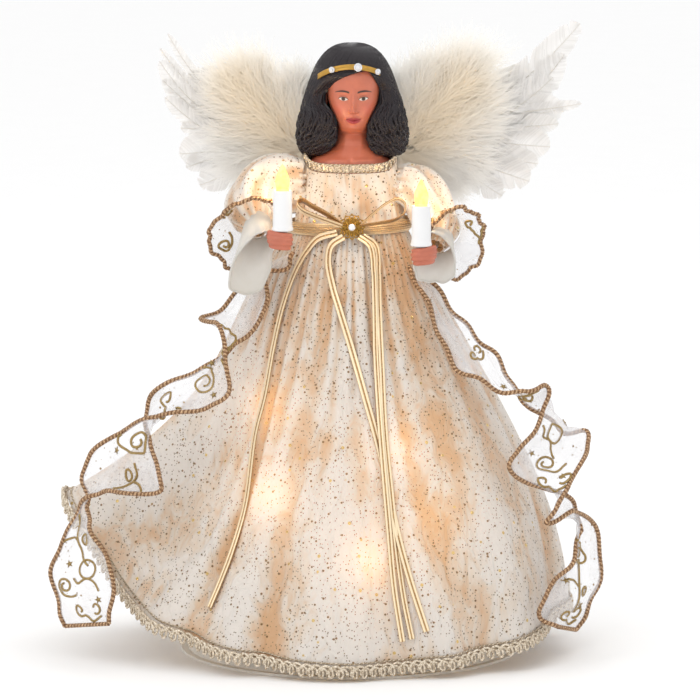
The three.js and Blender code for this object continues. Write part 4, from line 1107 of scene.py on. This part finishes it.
def make_candle(name):
    body = f"arm_{name}"
    candle = centre_of(f"candle_{name}")
    foot = vec(candle[0], candle[1], top_of(f"candle_{name}") - CANDLE_HEIGHT)
    mouth = foot + vec(0, 0, CANDLE_HEIGHT)
    wax = Heap()
    outside = [(2.6, -7.5), (2.6, 0), (5.3, 0), (5.6, 0.3), (5.6, 1.0), (5.2, 2.2), (5.05, 4), (5.0, 20.2)]
    inside = [(4.9, 20.8), (4.6, 21), (4.2, 20.8), (4.1, 20.2), (4.1, 8.2), (0, 8.2)]
    turned(wax, foot, outside + inside, 64)
    wax.piece(f"candle_sleeve_{name}", body, WHITE_PLASTIC, "white_plastic", instead=f"candle_{name}")
    lamp = Heap()
    turned(lamp, mouth, [(0, -11), (3.4, -11), (3.4, 0.4), (3.3, 1.2)], 40)
    lamp_top = [(3.3, 1.2), (3.75, 3.2), (3.8, 4.8), (3.4, 7.0), (2.6, 9.2), (1.6, 11.4), (0.8, 13), (0, 14)]
    turned(lamp, mouth, lamp_top, 40)
    lamp.piece(f"flame_lamp_{name}", f"bulb_{name}", FLAME, "lamp_glass", instead=f"flame_bulb_{name}")


def make_arms():
    for name, arm in ARMS.items():
        make_sleeve(name, arm)
        make_ruffle(name, arm)
        make_cuff(name, arm)
        make_hand(name)
        make_candle(name)


# ---------------------------------------------------------------- bust and face
HEAD_X = 1.8
# The face is divided in even thirds: hairline, brow, foot of the nose and chin.
CHIN_Z, HAIRLINE_Z = 278.5, 310.5
BROW_Z = mix(CHIN_Z, HAIRLINE_Z, 2 / 3)
NOSE_Z = mix(CHIN_Z, HAIRLINE_Z, 1 / 3)
EYE_Z = BROW_Z - 3.5
MOUTH_Z = mix(NOSE_Z, CHIN_Z, 0.36)
EYE_X, EYE_HALF = 5.3, 2.45
# The head nods forward about the middle of the ears.
NOD, NOD_Y, NOD_Z, NOD_LIFT = math.radians(8), 2.0, 292.0, 1.5

# Height, half width, half depth, and the middle's y and x of the bust's cross-sections.
BUST = [
    (246, 22, 14, -1, 0), (254, 22.8, 14.4, -1, 0), (259.5, 22.3, 13.4, -0.8, 0), (263, 19.5, 11.6, 0, 0.3),
    (266, 14.5, 10.5, 1, 1), (269.5, 10.2, 9.4, 2, 1.6), (275.4, 8.7, 8.6, 2, HEAD_X),
    (277.8, 8.5, 12.0, -1.8, HEAD_X), (280.5, 8.8, 14.8, -2.2, HEAD_X), (285, 10.7, 17.0, -1.4, HEAD_X),
    (292, 13.2, 18.4, -0.5, HEAD_X), (300, 14.2, 19.2, 0, HEAD_X), (309, 14, 18.2, 0.5, HEAD_X),
    (316, 11, 13.5, 1, HEAD_X), (319.3, 6, 7, 1, HEAD_X), (320, 0.5, 0.5, 1, HEAD_X),
]

# Soft bumps (or hollows) of the face: x, z, half width, half height, height. Those off centre are mirrored.
FACE = [
    (0, CHIN_Z + 2.6, 3.6, 2.6, 1.5), (7.6, NOSE_Z + 1.5, 4.2, 4.6, 0.9), (0, BROW_Z + 6, 8, 5, 0.5),
    (EYE_X, BROW_Z - 0.2, 4.2, 1.4, 0.6), (EYE_X - 0.2, EYE_Z, 3.9, 2.5, -1.9),
    (EYE_X, EYE_Z - 0.1, 2.5, 1.7, 1.5), (EYE_X, EYE_Z + 1.15, 2.6, 0.5, 0.5),
    (EYE_X, EYE_Z - 1.15, 2.3, 0.4, 0.2),
    (0, EYE_Z, 1.5, 4.6, 1.7), (0, NOSE_Z + 3.4, 1.4, 3.2, 2.2), (0, NOSE_Z + 1.2, 1.5, 1.3, 1.9),
    (1.9, NOSE_Z + 0.7, 1.0, 0.9, 1.3), (1.0, NOSE_Z - 0.3, 0.6, 0.4, -0.7),
    (0, MOUTH_Z + 2.6, 0.6, 1.1, -0.25),
    (1.2, MOUTH_Z + 0.85, 2.0, 0.7, 0.85), (0, MOUTH_Z - 1.1, 2.3, 0.9, 1.15), (0, MOUTH_Z, 3.8, 0.25, -0.6),
    (4.2, MOUTH_Z - 0.1, 0.8, 0.9, -0.35), (0, MOUTH_Z - 3.0, 2.2, 0.8, -0.45), (0, MOUTH_Z, 4.2, 3.0, 0.9),
    (7.5, 262.3, 6.0, 1.1, 0.7), (0, 261.6, 1.5, 1.6, -0.8), (4.4, 269.5, 1.3, 4.5, 0.35),
]


def soft_inside(distance, blur=0.18):
    """1 where distance is negative, 0 where positive, with a soft edge."""
    return np.clip(0.5 - distance / blur, 0, 1)


def face_paint(x, z):
    """Where the lips, cheeks, eyes, lashes and brows are painted."""
    off = np.abs(x) - EYE_X
    a = np.clip(1 - (off / EYE_HALF) ** 2, 0, 1)
    upper, lower = EYE_Z + 1.15 * a**0.8 + 0.1 * off / EYE_HALF, EYE_Z - 0.8 * a**0.9 + 0.1 * off / EYE_HALF
    in_eye = soft_inside(np.abs(off) - EYE_HALF) * soft_inside(z - upper) * soft_inside(lower - z)
    from_pupil = np.hypot(off, z - EYE_Z - 0.15)
    iris = in_eye * soft_inside(from_pupil - 1.05)
    lash = soft_inside(np.abs(z - upper) - 0.24) * soft_inside(np.abs(off) - 1.08 * EYE_HALF)
    crease = 0.5 * soft_inside(np.abs(z - upper - 0.8) - 0.12) * soft_inside(np.abs(off) - 0.9 * EYE_HALF)
    brow_off = (np.abs(x) - 5.9) / 3.7
    brow_z = BROW_Z + 0.9 * (1 - brow_off**2) - 0.25 * brow_off
    thick = 0.48 * np.clip(1 - 0.65 * np.clip(brow_off, 0, 1), 0.1, 1)
    brow = soft_inside(np.abs(z - brow_z) - thick, 0.25) * soft_inside(np.abs(brow_off) - 1, 0.1)
    pupil = iris * soft_inside(from_pupil - 0.45)
    upper_lip = MOUTH_Z + 1.5 * np.clip(1 - (x / 4.1) ** 2, 0, 1) ** 0.8 - 0.35 * np.exp(-(x / 0.8) ** 2)
    lower_lip = MOUTH_Z - 1.9 * np.clip(1 - (x / 3.8) ** 2, 0, 1) ** 0.6
    lips = soft_inside(z - upper_lip, 0.4) * soft_inside(lower_lip - z, 0.4)
    lips = lips * soft_inside(np.abs(x) - 4.1, 0.4)
    mouth = 0.7 * soft_inside(np.abs(z - MOUTH_Z) - 0.1, 0.2) * soft_inside(np.abs(x) - 3.9, 0.4)
    blush = np.exp(-((np.abs(x) - 8) / 3.5) ** 2 - ((z - NOSE_Z - 1) / 3.5) ** 2)
    line = np.clip(lash + crease + brow + pupil + mouth, 0, 1)
    return {"lips": lips, "blush": blush, "eye_white": in_eye, "iris": iris, "line": line}


def nodded(points):
    """Tips the points of the head forward; the neck and shoulders stay."""
    share = step_up(points[..., 2], 271, 280)
    turn = NOD * share
    y, z = points[..., 1] - NOD_Y, points[..., 2] - NOD_Z
    moved = points.copy()
    moved[..., 1] = NOD_Y + y * np.cos(turn) - z * np.sin(turn)
    moved[..., 2] = NOD_Z + z * np.cos(turn) + y * np.sin(turn) + NOD_LIFT * share
    return moved


def make_bust():
    rows, columns = (380, 420) if FINE else (200, 220)
    share = np.arange(columns) / columns
    turn = 2 * np.pi * (share - 0.8 * np.sin(2 * np.pi * share) / (2 * np.pi))
    z = np.linspace(BUST[0][0], BUST[-1][0], rows)[:, None] + 0 * turn
    heights = [level[0] for level in BUST]
    knots = np.linspace(0, 1, 400)
    curve = spline([(h, w, d) for h, w, d, _, _ in BUST], knots)
    width = np.interp(z[:, 0], curve[:, 0], curve[:, 1])[:, None]
    depth = np.interp(z[:, 0], curve[:, 0], curve[:, 2])[:, None]
    middle_y = np.interp(z[:, 0], heights, [row[3] for row in BUST])[:, None]
    middle_x = np.interp(z[:, 0], heights, [row[4] for row in BUST])[:, None]
    way = outward(turn)[None]
    fuller = 1 / (np.abs(way[..., 0]) ** 2.25 + np.abs(way[..., 1]) ** 2.25) ** (1 / 2.25)
    x = width * way[..., 0] * fuller
    y = middle_y + depth * way[..., 1] * fuller
    front = step_up(-way[..., 1], 0.1, 0.6)
    for at_x, at_z, half_x, half_z, height in FACE:
        for sign in ((1,) if at_x == 0 else (1, -1)):
            y = y - front * height * np.exp(-((x - sign * at_x) / half_x) ** 2 - ((z - at_z) / half_z) ** 2)
    paint = {name: np.where(way[..., 1] < 0, value, 0) for name, value in face_paint(x, z).items()}
    heap = Heap()
    heap.grid(nodded(np.stack([x + middle_x, y, z], -1)), loop_columns=True, caps=True, **paint)
    for sign in (-1, 1):
        heap.ball((HEAD_X + sign * 14.3, 0.5, EYE_Z - 2.5), (1.1, 2.4, 3.6), 12, 14)
        rim = [(HEAD_X + sign * (14.0 + out), y, EYE_Z - 2.5 + rise)
               for out, y, rise in ((0.2, -2.2, -4.0), (0.9, -0.8, -3.4), (1.5, 1.8, -1.0), (1.7, 2.4, 1.8),
                                    (1.4, 1.0, 4.0), (0.7, -1.4, 4.2), (0.0, -2.6, 2.4))]
        path = nodded(route(rim, 0.4))
        thick = np.interp(np.linspace(0, 1, len(path)), [0, 0.2, 0.8, 1], [0.9, 0.7, 0.6, 0.3])
        heap.tube(path, thick, sides=8)
    heap.piece("bust_and_face", "figure", SKIN, "skin", instead="bust")


# ---------------------------------------------------------------- hair
# Half width, half depth and height of the hair from the crown to the ends.
HAIR_OUTLINE = [
    (0.4, 0.4, 323.2), (8, 9.5, 321.8), (13.6, 15.5, 318.5), (18.6, 20.5, 312), (22.8, 23, 302),
    (26.3, 23.6, 290), (28.3, 22.8, 278), (27.8, 21.6, 270.5), (25.5, 19.5, 265.5), (20, 15.5, 263.5),
]
PARTING_X = 10.0
# Height and x of the hair's edge round the face: a side parting sweeps over the brow to the left.
FACE_EDGE = {
    "left": [(324, PARTING_X), (310.5, PARTING_X), (309.6, 5), (308.2, 0), (306.3, -4), (303.2, -8),
             (300, -11.2), (297, -14.2), (292, -14.6), (289, -11.8), (286.5, -8.8), (282, -7.4),
             (273, -7.2), (269.5, -9), (262, -17)],
    "right": [(324, PARTING_X), (310.5, PARTING_X), (307, 13), (303, 15), (299, 17.2), (292, 18), (289, 15.6),
              (286.5, 13.4), (282, 11), (273, 10.4), (267.5, 12.7), (262, 19)],
}


def hair_at(name, share, v, scale=1.0):
    """A point of the hair: share 0 at the edge round the face and 1 behind, v from crown to ends."""
    share, v = np.broadcast_arrays(np.asarray(share, float), np.asarray(v, float))
    size = spline(HAIR_OUTLINE, v)
    width, depth, z = size[..., 0], size[..., 1], size[..., 2]
    edge = FACE_EDGE[name][::-1]
    edge_x = np.interp(z, [row[0] for row in edge], [row[1] for row in edge])
    sine = np.clip((edge_x - HEAD_X) / np.maximum(width, 1), -0.9, 0.9)
    sign = SIDES[name]
    turn = mix(np.arcsin(sine), sign * np.pi, share)
    tuck = 6.5 * step_up(-z, -309, -299) * np.exp(-(share / 0.1) ** 2)
    middle_y = np.interp(z, [264, 290, 323], [2.6, 1.0, 1.0])
    x = HEAD_X - 0.6 + width * np.sin(turn) * scale
    y = middle_y - depth * np.cos(turn) * scale + tuck
    return np.stack([x, y, z], -1)


def make_hair():
    heap = Heap()
    v, share = sheet_grid(60, 50)
    for name in SIDES:
        cap = hair_at(name, share, v, 0.95)
        under = hair_at(name, share[:6], np.ones_like(share[:6]), np.linspace(0.9, 0.45, 6)[:, None])
        under[..., 2] += 0.8
        heap.grid(np.vstack([cap, under]))
        heap.grid(hair_at(name, share, v, 0.86))
    luck = np.random.default_rng(4)
    locks = 125 if FINE else 60
    for name in SIDES:
        for k in range(locks):
            share = (k + 0.5 * luck.random()) / locks
            start = 0.02 + 0.1 * luck.random()
            end = 1.0 - 0.05 * luck.random() ** 2
            along = np.linspace(start, end, 160 if FINE else 80)
            wave = step_up(along, 0.42, 0.75)
            beat = 2 * np.pi * (luck.random() + along * luck.uniform(9, 13))
            sway = share + wave * 0.014 * np.sin(beat) * luck.uniform(0.6, 1.5)
            path = hair_at(name, np.clip(sway, 0, 1), along)
            out = unit((path - vec(HEAD_X, 1, 290)) * vec(1, 1, 0.2))
            path = path + out * (wave * 1.1 * np.cos(beat) + wave * luck.uniform(-0.8, 0.5) - 0.25)[:, None]
            thick = np.interp(along, [0, 0.12, 0.45, 0.9, 1], [0.3, 0.55, 0.75, 0.95, 0.35])
            thick = thick * luck.uniform(0.8, 1.2)
            side, up = frames(path)
            spin = (2.0 * beat)[:, None]
            for third in range(3):
                lean = spin + third * 2 * np.pi / 3
                apart = (0.45 * thick * mix(0.6, 1, wave))[:, None]
                heap.tube(path + (side * np.cos(lean) + up * np.sin(lean)) * apart, 0.62 * thick, sides=5)
    heap.piece("moulded_hair", "figure", HAIR, "hair", instead="hair")


# ---------------------------------------------------------------- headband and its stones
def band_at(share):
    """A point of the headband, which dips towards its ends."""
    turn = mix(-0.96, 0.74, np.asarray(share, float))
    path = outward(turn) * vec(21.3, 22.9, 0) + vec(HEAD_X - 0.8, 0.6, 0)
    path[..., 2] = 312.3 - 14.0 * (1 - np.cos(turn))
    return path


# Node, place along the headband and radius of each stone.
STONES = (("crystal_center", 0.65, 2.2), ("crystal_left", 0.275, 1.6), ("crystal_right", 0.95, 1.6))


def make_headband():
    path = band_at(np.linspace(0, 1, 120))
    heap = Heap()
    out = unit((path - vec(HEAD_X, 0.6, 313)) * vec(1, 1, 0))
    profile = [(-1.4, 0.0), (-1.4, 0.7), (-1.1, 0.85), (-0.8, 0.6), (0.8, 0.6), (1.1, 0.85), (1.4, 0.7),
               (1.4, 0.0)]
    heap.grid(np.stack([path + out * lift + vec(0, 0, rise) for rise, lift in profile], 1), loop_columns=True,
              caps=True)
    heap.piece("gold_headband", "figure", POLISHED_GOLD, "gold", instead="headband")
    for node, share, radius in STONES:
        stone = Heap()
        middle = band_at(share)
        axis = unit((middle - vec(HEAD_X, 0.6, middle[2])) * vec(1, 1, 0))
        steps = ((1, 0), (1, 0.9), (0.78, 1.3), (0.6, 1.1), (0.55, 1.6), (0.3, 1.9), (0, 1.9))
        turned(stone, middle + axis * 0.5, [(part * radius, height) for part, height in steps], 14, axis)
        stone.piece(f"gem_{node}", "figure", CRYSTAL, "crystal", instead=node, smooth=False)


# ---------------------------------------------------------------- wings
HINGE_X, HINGE_Y, WING_LEAN = 11.0, 26.4, math.radians(7)
QUILL_ROOT = (25.0, 264.0)
# Tips of the long feathers of each wing (outwards, up) and their widest half width.
QUILL_TIPS = {
    "left": [(102, 320, 2.8), (106, 312, 2.8), (106, 305, 7), (104, 295, 6), (102, 286, 5), (93, 270, 5),
             (93, 256, 9.5), (89, 249, 6), (81, 240, 8), (90, 300, 8), (88, 284, 8)],
    "right": [(128, 324, 8), (119, 308, 9.5), (127, 281, 3.5), (117, 279, 10), (114, 271, 6), (109, 259, 9.5),
              (97, 241, 9), (82, 234, 7), (112, 296, 9), (102, 250, 7)],
}
# How far the soft plumes reach from the quills' root, at angles up from straight outwards.
PLUME_REACH = {
    "left": [(-90, 24), (-60, 32), (-30, 44), (0, 56), (30, 65), (50, 76), (62, 66), (75, 52), (90, 46),
             (112, 32)],
    "right": [(-90, 24), (-60, 34), (-30, 48), (0, 62), (30, 74), (42, 80), (55, 77), (70, 63), (88, 46),
              (112, 31)],
}
# The warm-toned middle of a wing: a line from one place to another, and how far the tone spreads.
WARM_FROM, WARM_TO, WARM_RADIUS = (30, 260), (60, 297), 19.0


def warmth(flat):
    """1 along the warm middle of a wing, fading towards its edges."""
    start, way = vec(*WARM_FROM), vec(*WARM_TO) - vec(*WARM_FROM)
    share = np.clip((flat - start) @ way / (way @ way), 0, 1)
    away = np.linalg.norm(flat - start - way * share[..., None], axis=-1)
    return 0.7 * np.exp(-(away / WARM_RADIUS) ** 2)


def wing_place(name, out, rise, back):
    """From the wing's own flat space into place: out from the hinge, up, and back."""
    side = SIDES[name]
    x = side * (HINGE_X + (out - HINGE_X) * math.cos(WING_LEAN) - back * math.sin(WING_LEAN))
    y = HINGE_Y + (out - HINGE_X) * math.sin(WING_LEAN) + back * math.cos(WING_LEAN)
    return np.stack(np.broadcast_arrays(x, y, rise), -1)


def flat_strips(heap, lines, widths, root, tone):
    """Narrow flat strips, one for each line of points; lines is an array of lines, points and places."""
    ahead = unit(np.gradient(lines, axis=1))
    across = unit(np.cross(ahead, vec(0.05, 1, 0.05)))
    half = across * (0.5 * widths)[..., None]
    for line in range(len(lines)):
        heap.grid(np.stack([lines[line] - half[line], lines[line] + half[line]], 1),
                  root=np.stack([root[line], root[line]], 1), tone=np.stack([tone[line], tone[line]], 1))


def feather_barbs(heap, name, quill, half_width, back, luck, spacing):
    """A flat feather: its shaft and the slanted barbs of both vanes, parted in a few places."""
    count = int(length_of(np.column_stack([quill, 0 * quill[:, 0]])) / spacing)
    shares = np.linspace(0, 1, count)
    middle = np.stack([np.interp(shares, np.linspace(0, 1, len(quill)), quill[:, k]) for k in (0, 1)], -1)
    ahead = unit(np.gradient(middle, axis=0))
    long = length_of(np.column_stack([middle, 0 * middle[:, 0]]))
    slant = 0.85
    ends = np.linspace(0.15, 1, 300)
    rounded = np.sqrt(np.clip(1 - (np.clip(ends - 0.82, 0, 1) / 0.18) ** 2, 0, 1))
    reaches = half_width * np.clip((ends - 0.15) / 0.35, 0, 1) ** 0.7 * rounded
    gaps = luck.uniform(0.5, 0.95, 3)
    points_per_barb = 6
    t = np.linspace(0, 1, points_per_barb)
    for sign in (-1, 1):
        beside = np.stack([-ahead[:, 1], ahead[:, 0]], -1) * sign
        length = np.interp(shares, ends - slant * reaches / long, reaches, left=0)
        length = length * (1.15 if sign > 0 else 0.9)
        pull = sum(np.exp(-((shares - gap) / 0.03) ** 2) * np.sign(shares - gap) for gap in gaps)
        keep = length > 0.3
        reach = (beside[:, None] * t[None, :, None] + ahead[:, None] * (slant * t**1.3)[None, :, None]
                 + ahead[:, None] * (0.22 * pull[:, None] * t**2)[..., None])
        flat = middle[:, None] + reach * (length * luck.uniform(0.96, 1.02, count))[:, None, None]
        cupped = 0.15 * sign * length[:, None] * t**1.5
        lift = back - cupped + 0.25 * luck.standard_normal((count, 1)) * t
        barbs = wing_place(name, flat[..., 0], flat[..., 1], lift)
        widths = np.broadcast_to(spacing * 1.45 * np.array([1, 1, 1, 1, 1, 0.8]), barbs.shape[:2])
        tone = luck.random((count, 1)) * np.ones((1, points_per_barb))
        flat_strips(heap, barbs[keep], widths[keep], 0.8 * warmth(flat)[keep], tone[keep])
    shaft = wing_place(name, middle[:, 0], middle[:, 1], back - 0.1)
    heap.tube(shaft, np.linspace(0.75, 0.2, count), sides=6, root=np.full(count, 0.25))


def make_quills(name, luck):
    heap = Heap()
    tips = QUILL_TIPS[name]
    for k, (out, rise, half_width) in enumerate(tips):
        tip, root = vec(out, rise), vec(*QUILL_ROOT) + luck.uniform(-1.5, 1.5, 2)
        bend = (0.09 if rise > 285 else -0.07) * luck.uniform(0.5, 1.3)
        t = np.linspace(0, 1, 60)[:, None]
        sideways = vec(-(tip - root)[1], (tip - root)[0])
        quill = root + (tip - root) * t - sideways * bend * np.sin(np.pi * t) + sideways * 0.05 * t**4
        feather_barbs(heap, name, quill, half_width, 9.6 + 0.35 * (k % 4), luck,
                      spacing=0.6 if FINE else 1.2)
    heap.piece(f"quills_{name}", f"wing_{name}", QUILLS, "feather", instead=f"primary_feathers_{name}")


def make_down(name, luck):
    """Soft plumes that fan out from the quills' root, each a stem with long, fine, wavy barbs."""
    heap = Heap()
    angles, reaches = zip(*PLUME_REACH[name])
    plumes, barbs = (150, 110) if FINE else (60, 50)
    t = np.linspace(0, 1, 9)
    for _ in range(plumes):
        angle = luck.uniform(angles[0], angles[-1])
        reach = np.interp(angle, angles, reaches) * luck.uniform(0.88, 1.02)
        ahead = vec(math.cos(math.radians(angle)), math.sin(math.radians(angle)))
        beside = vec(-ahead[1], ahead[0])
        start = luck.uniform(0.0, 0.6)
        end = mix(start, 0.8, luck.uniform(0.6, 1.0))
        shares = np.sort(luck.uniform(start, end, barbs))[:, None]
        bow = luck.uniform(-0.12, 0.12)
        stem = vec(*QUILL_ROOT) + reach * (ahead * shares + beside * bow * np.sin(np.pi * shares))
        lean = luck.choice((-1.0, 1.0), (barbs, 1))
        spread = lean * luck.uniform(0.05, 0.75, (barbs, 1)) * (1.1 - 0.6 * shares)
        way = ahead * np.cos(spread) + beside * np.sin(spread)
        length = luck.uniform(0.16, 0.3, (barbs, 1)) * (reach + 12)
        across = np.stack([-way[:, 1], way[:, 0]], -1)
        ripple = 0.025 * np.sin(9 * t + luck.uniform(0, 6, (barbs, 1)))
        bend = luck.uniform(-0.28, 0.28, (barbs, 1)) * t**2 + ripple
        flat = stem[:, None] + way[:, None] * (length * t)[..., None]
        flat = flat + across[:, None] * (length * bend)[..., None]
        back = mix(0.5, 8, luck.random())
        depth = back + length * 0.3 * luck.uniform(-1, 0.6, (barbs, 1)) * t
        lines = wing_place(name, flat[..., 0], flat[..., 1], np.clip(depth, -1.5, 9))
        widths = 0.55 * mix(1.0, 0.25, t)[None] + np.zeros((barbs, 1))
        tone = luck.random((barbs, 1)) * np.ones((1, len(t)))
        flat_strips(heap, lines, widths, warmth(flat), tone)
    heap.piece(f"plumes_{name}", f"wing_{name}", DOWN, "down", instead=f"down_feathers_{name}")


def make_wings():
    luck = np.random.default_rng(11)
    for name in SIDES:
        make_quills(name, luck)
        make_down(name, luck)


# ---------------------------------------------------------------- stand, lamps and wires
CAD_FINISHES = (
    (CARD, ["support_cone"]),
    (WHITE_PLASTIC, ["lead_grommet", "wing_mount"] + [f"lamp_holder_{k}" for k in range(1, 7)]),
    (SKIRT_LAMP, [f"lamp_bulb_{k}" for k in range(1, 7)]),
    (CABLE, ["harness_wire"]),
    (FOAM, ["torso_form", "wing_backing_left", "wing_backing_right"]),
    (STEEL_WIRE, ["arm_wire_left", "arm_wire_right", "wing_wire_left", "wing_wire_right"]),
)


def finish_cad_nodes():
    for material, names in CAD_FINISHES:
        for name in names:
            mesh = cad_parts[name].data
            mesh.materials.clear()
            mesh.materials.append(material)


# ---------------------------------------------------------------- light, floor, camera
LAMP_RADIUS = 3.0


def warm_light(name, spot, power, body):
    """A small warm lamp that rides on a body."""
    light = bpy.data.lights.new(name, "POINT")
    light.energy = power
    light.color = (1.0, 0.72, 0.42)
    light.shadow_soft_size = LAMP_RADIUS * MM
    lamp = bpy.data.objects.new(name, light)
    lamp.location = spot * MM + AXIS
    bpy.context.collection.objects.link(lamp)
    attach(lamp, body)


def soft_box(name, place, power, size):
    """A square studio light that faces the figure."""
    light = bpy.data.lights.new(name, "AREA")
    light.energy = power
    light.size = size
    box = bpy.data.objects.new(name, light)
    box.location = place
    aim = Vector((AXIS[0], AXIS[1], 0.16)) - Vector(place)
    box.rotation_euler = aim.to_track_quat("-Z", "Y").to_euler()
    bpy.context.collection.objects.link(box)


def make_lights():
    for k, spot in enumerate(LAMP_SPOTS):
        way = unit((spot - vec(0, 0, spot[2])) * vec(1, 1, 0))
        warm_light(f"skirt_glow_{k + 1}", spot + way * 3.5, 0.035, "figure")
    for name in SIDES:
        flame = centre_of(f"flame_bulb_{name}")
        behind = vec(flame[0], flame[1] + 5.5, top_of(f"flame_bulb_{name}") - 7)
        warm_light(f"candle_glow_{name}", behind, 0.03, f"bulb_{name}")
    soft_box("key", (-0.9, -1.3, 1.6), 7, 0.9)
    soft_box("top", (0.3, 0.3, 1.7), 3, 1.0)


def make_floor():
    mesh = bpy.data.meshes.new("floor")
    half = 12.0
    corners = [(-half, -half, 0), (half, -half, 0), (half, half, 0), (-half, half, 0)]
    mesh.from_pydata(corners, [], [(0, 1, 2, 3)])
    floor = bpy.data.objects.new("floor", mesh)
    bpy.context.collection.objects.link(floor)
    look = Look("pale_floor", (0.97, 0.97, 0.97), roughness=0.9)
    look.put("Base Color", look.blend(look.noise(40), (0.96, 0.96, 0.96), (0.98, 0.98, 0.98)))
    mesh.materials.append(look.material)


def make_world():
    world = bpy.data.worlds.new("studio")
    world.use_nodes = True
    backdrop = world.node_tree.nodes["Background"]
    backdrop.inputs["Color"].default_value = (1, 1, 1, 1)
    backdrop.inputs["Strength"].default_value = 1.0
    bpy.context.scene.world = world


def make_camera():
    distance, rise = 3.0, math.radians(8)
    target = Vector((AXIS[0], AXIS[1], AXIS[2] + 159.8 * MM))
    camera_data = bpy.data.cameras.new("camera")
    camera_data.lens = 291
    camera_data.sensor_width = 36
    camera = bpy.data.objects.new("camera", camera_data)
    camera.location = target + Vector((0, -distance * math.cos(rise), distance * math.sin(rise)))
    camera.rotation_euler = (target - camera.location).to_track_quat("-Z", "Y").to_euler()
    bpy.context.collection.objects.link(camera)
    bpy.context.scene.camera = camera


make_skirt()
make_hem_braid()
make_bodice()
make_neckline()
make_sash()
make_tails()
make_bows()
make_brooch()
for side_name in SIDES:
    make_cascade(side_name)
make_arms()
make_bust()
make_hair()
make_headband()
make_wings()
finish_cad_nodes()
make_lights()
make_floor()
make_world()
make_camera()
bpy.context.scene.view_settings.view_transform = "Standard"
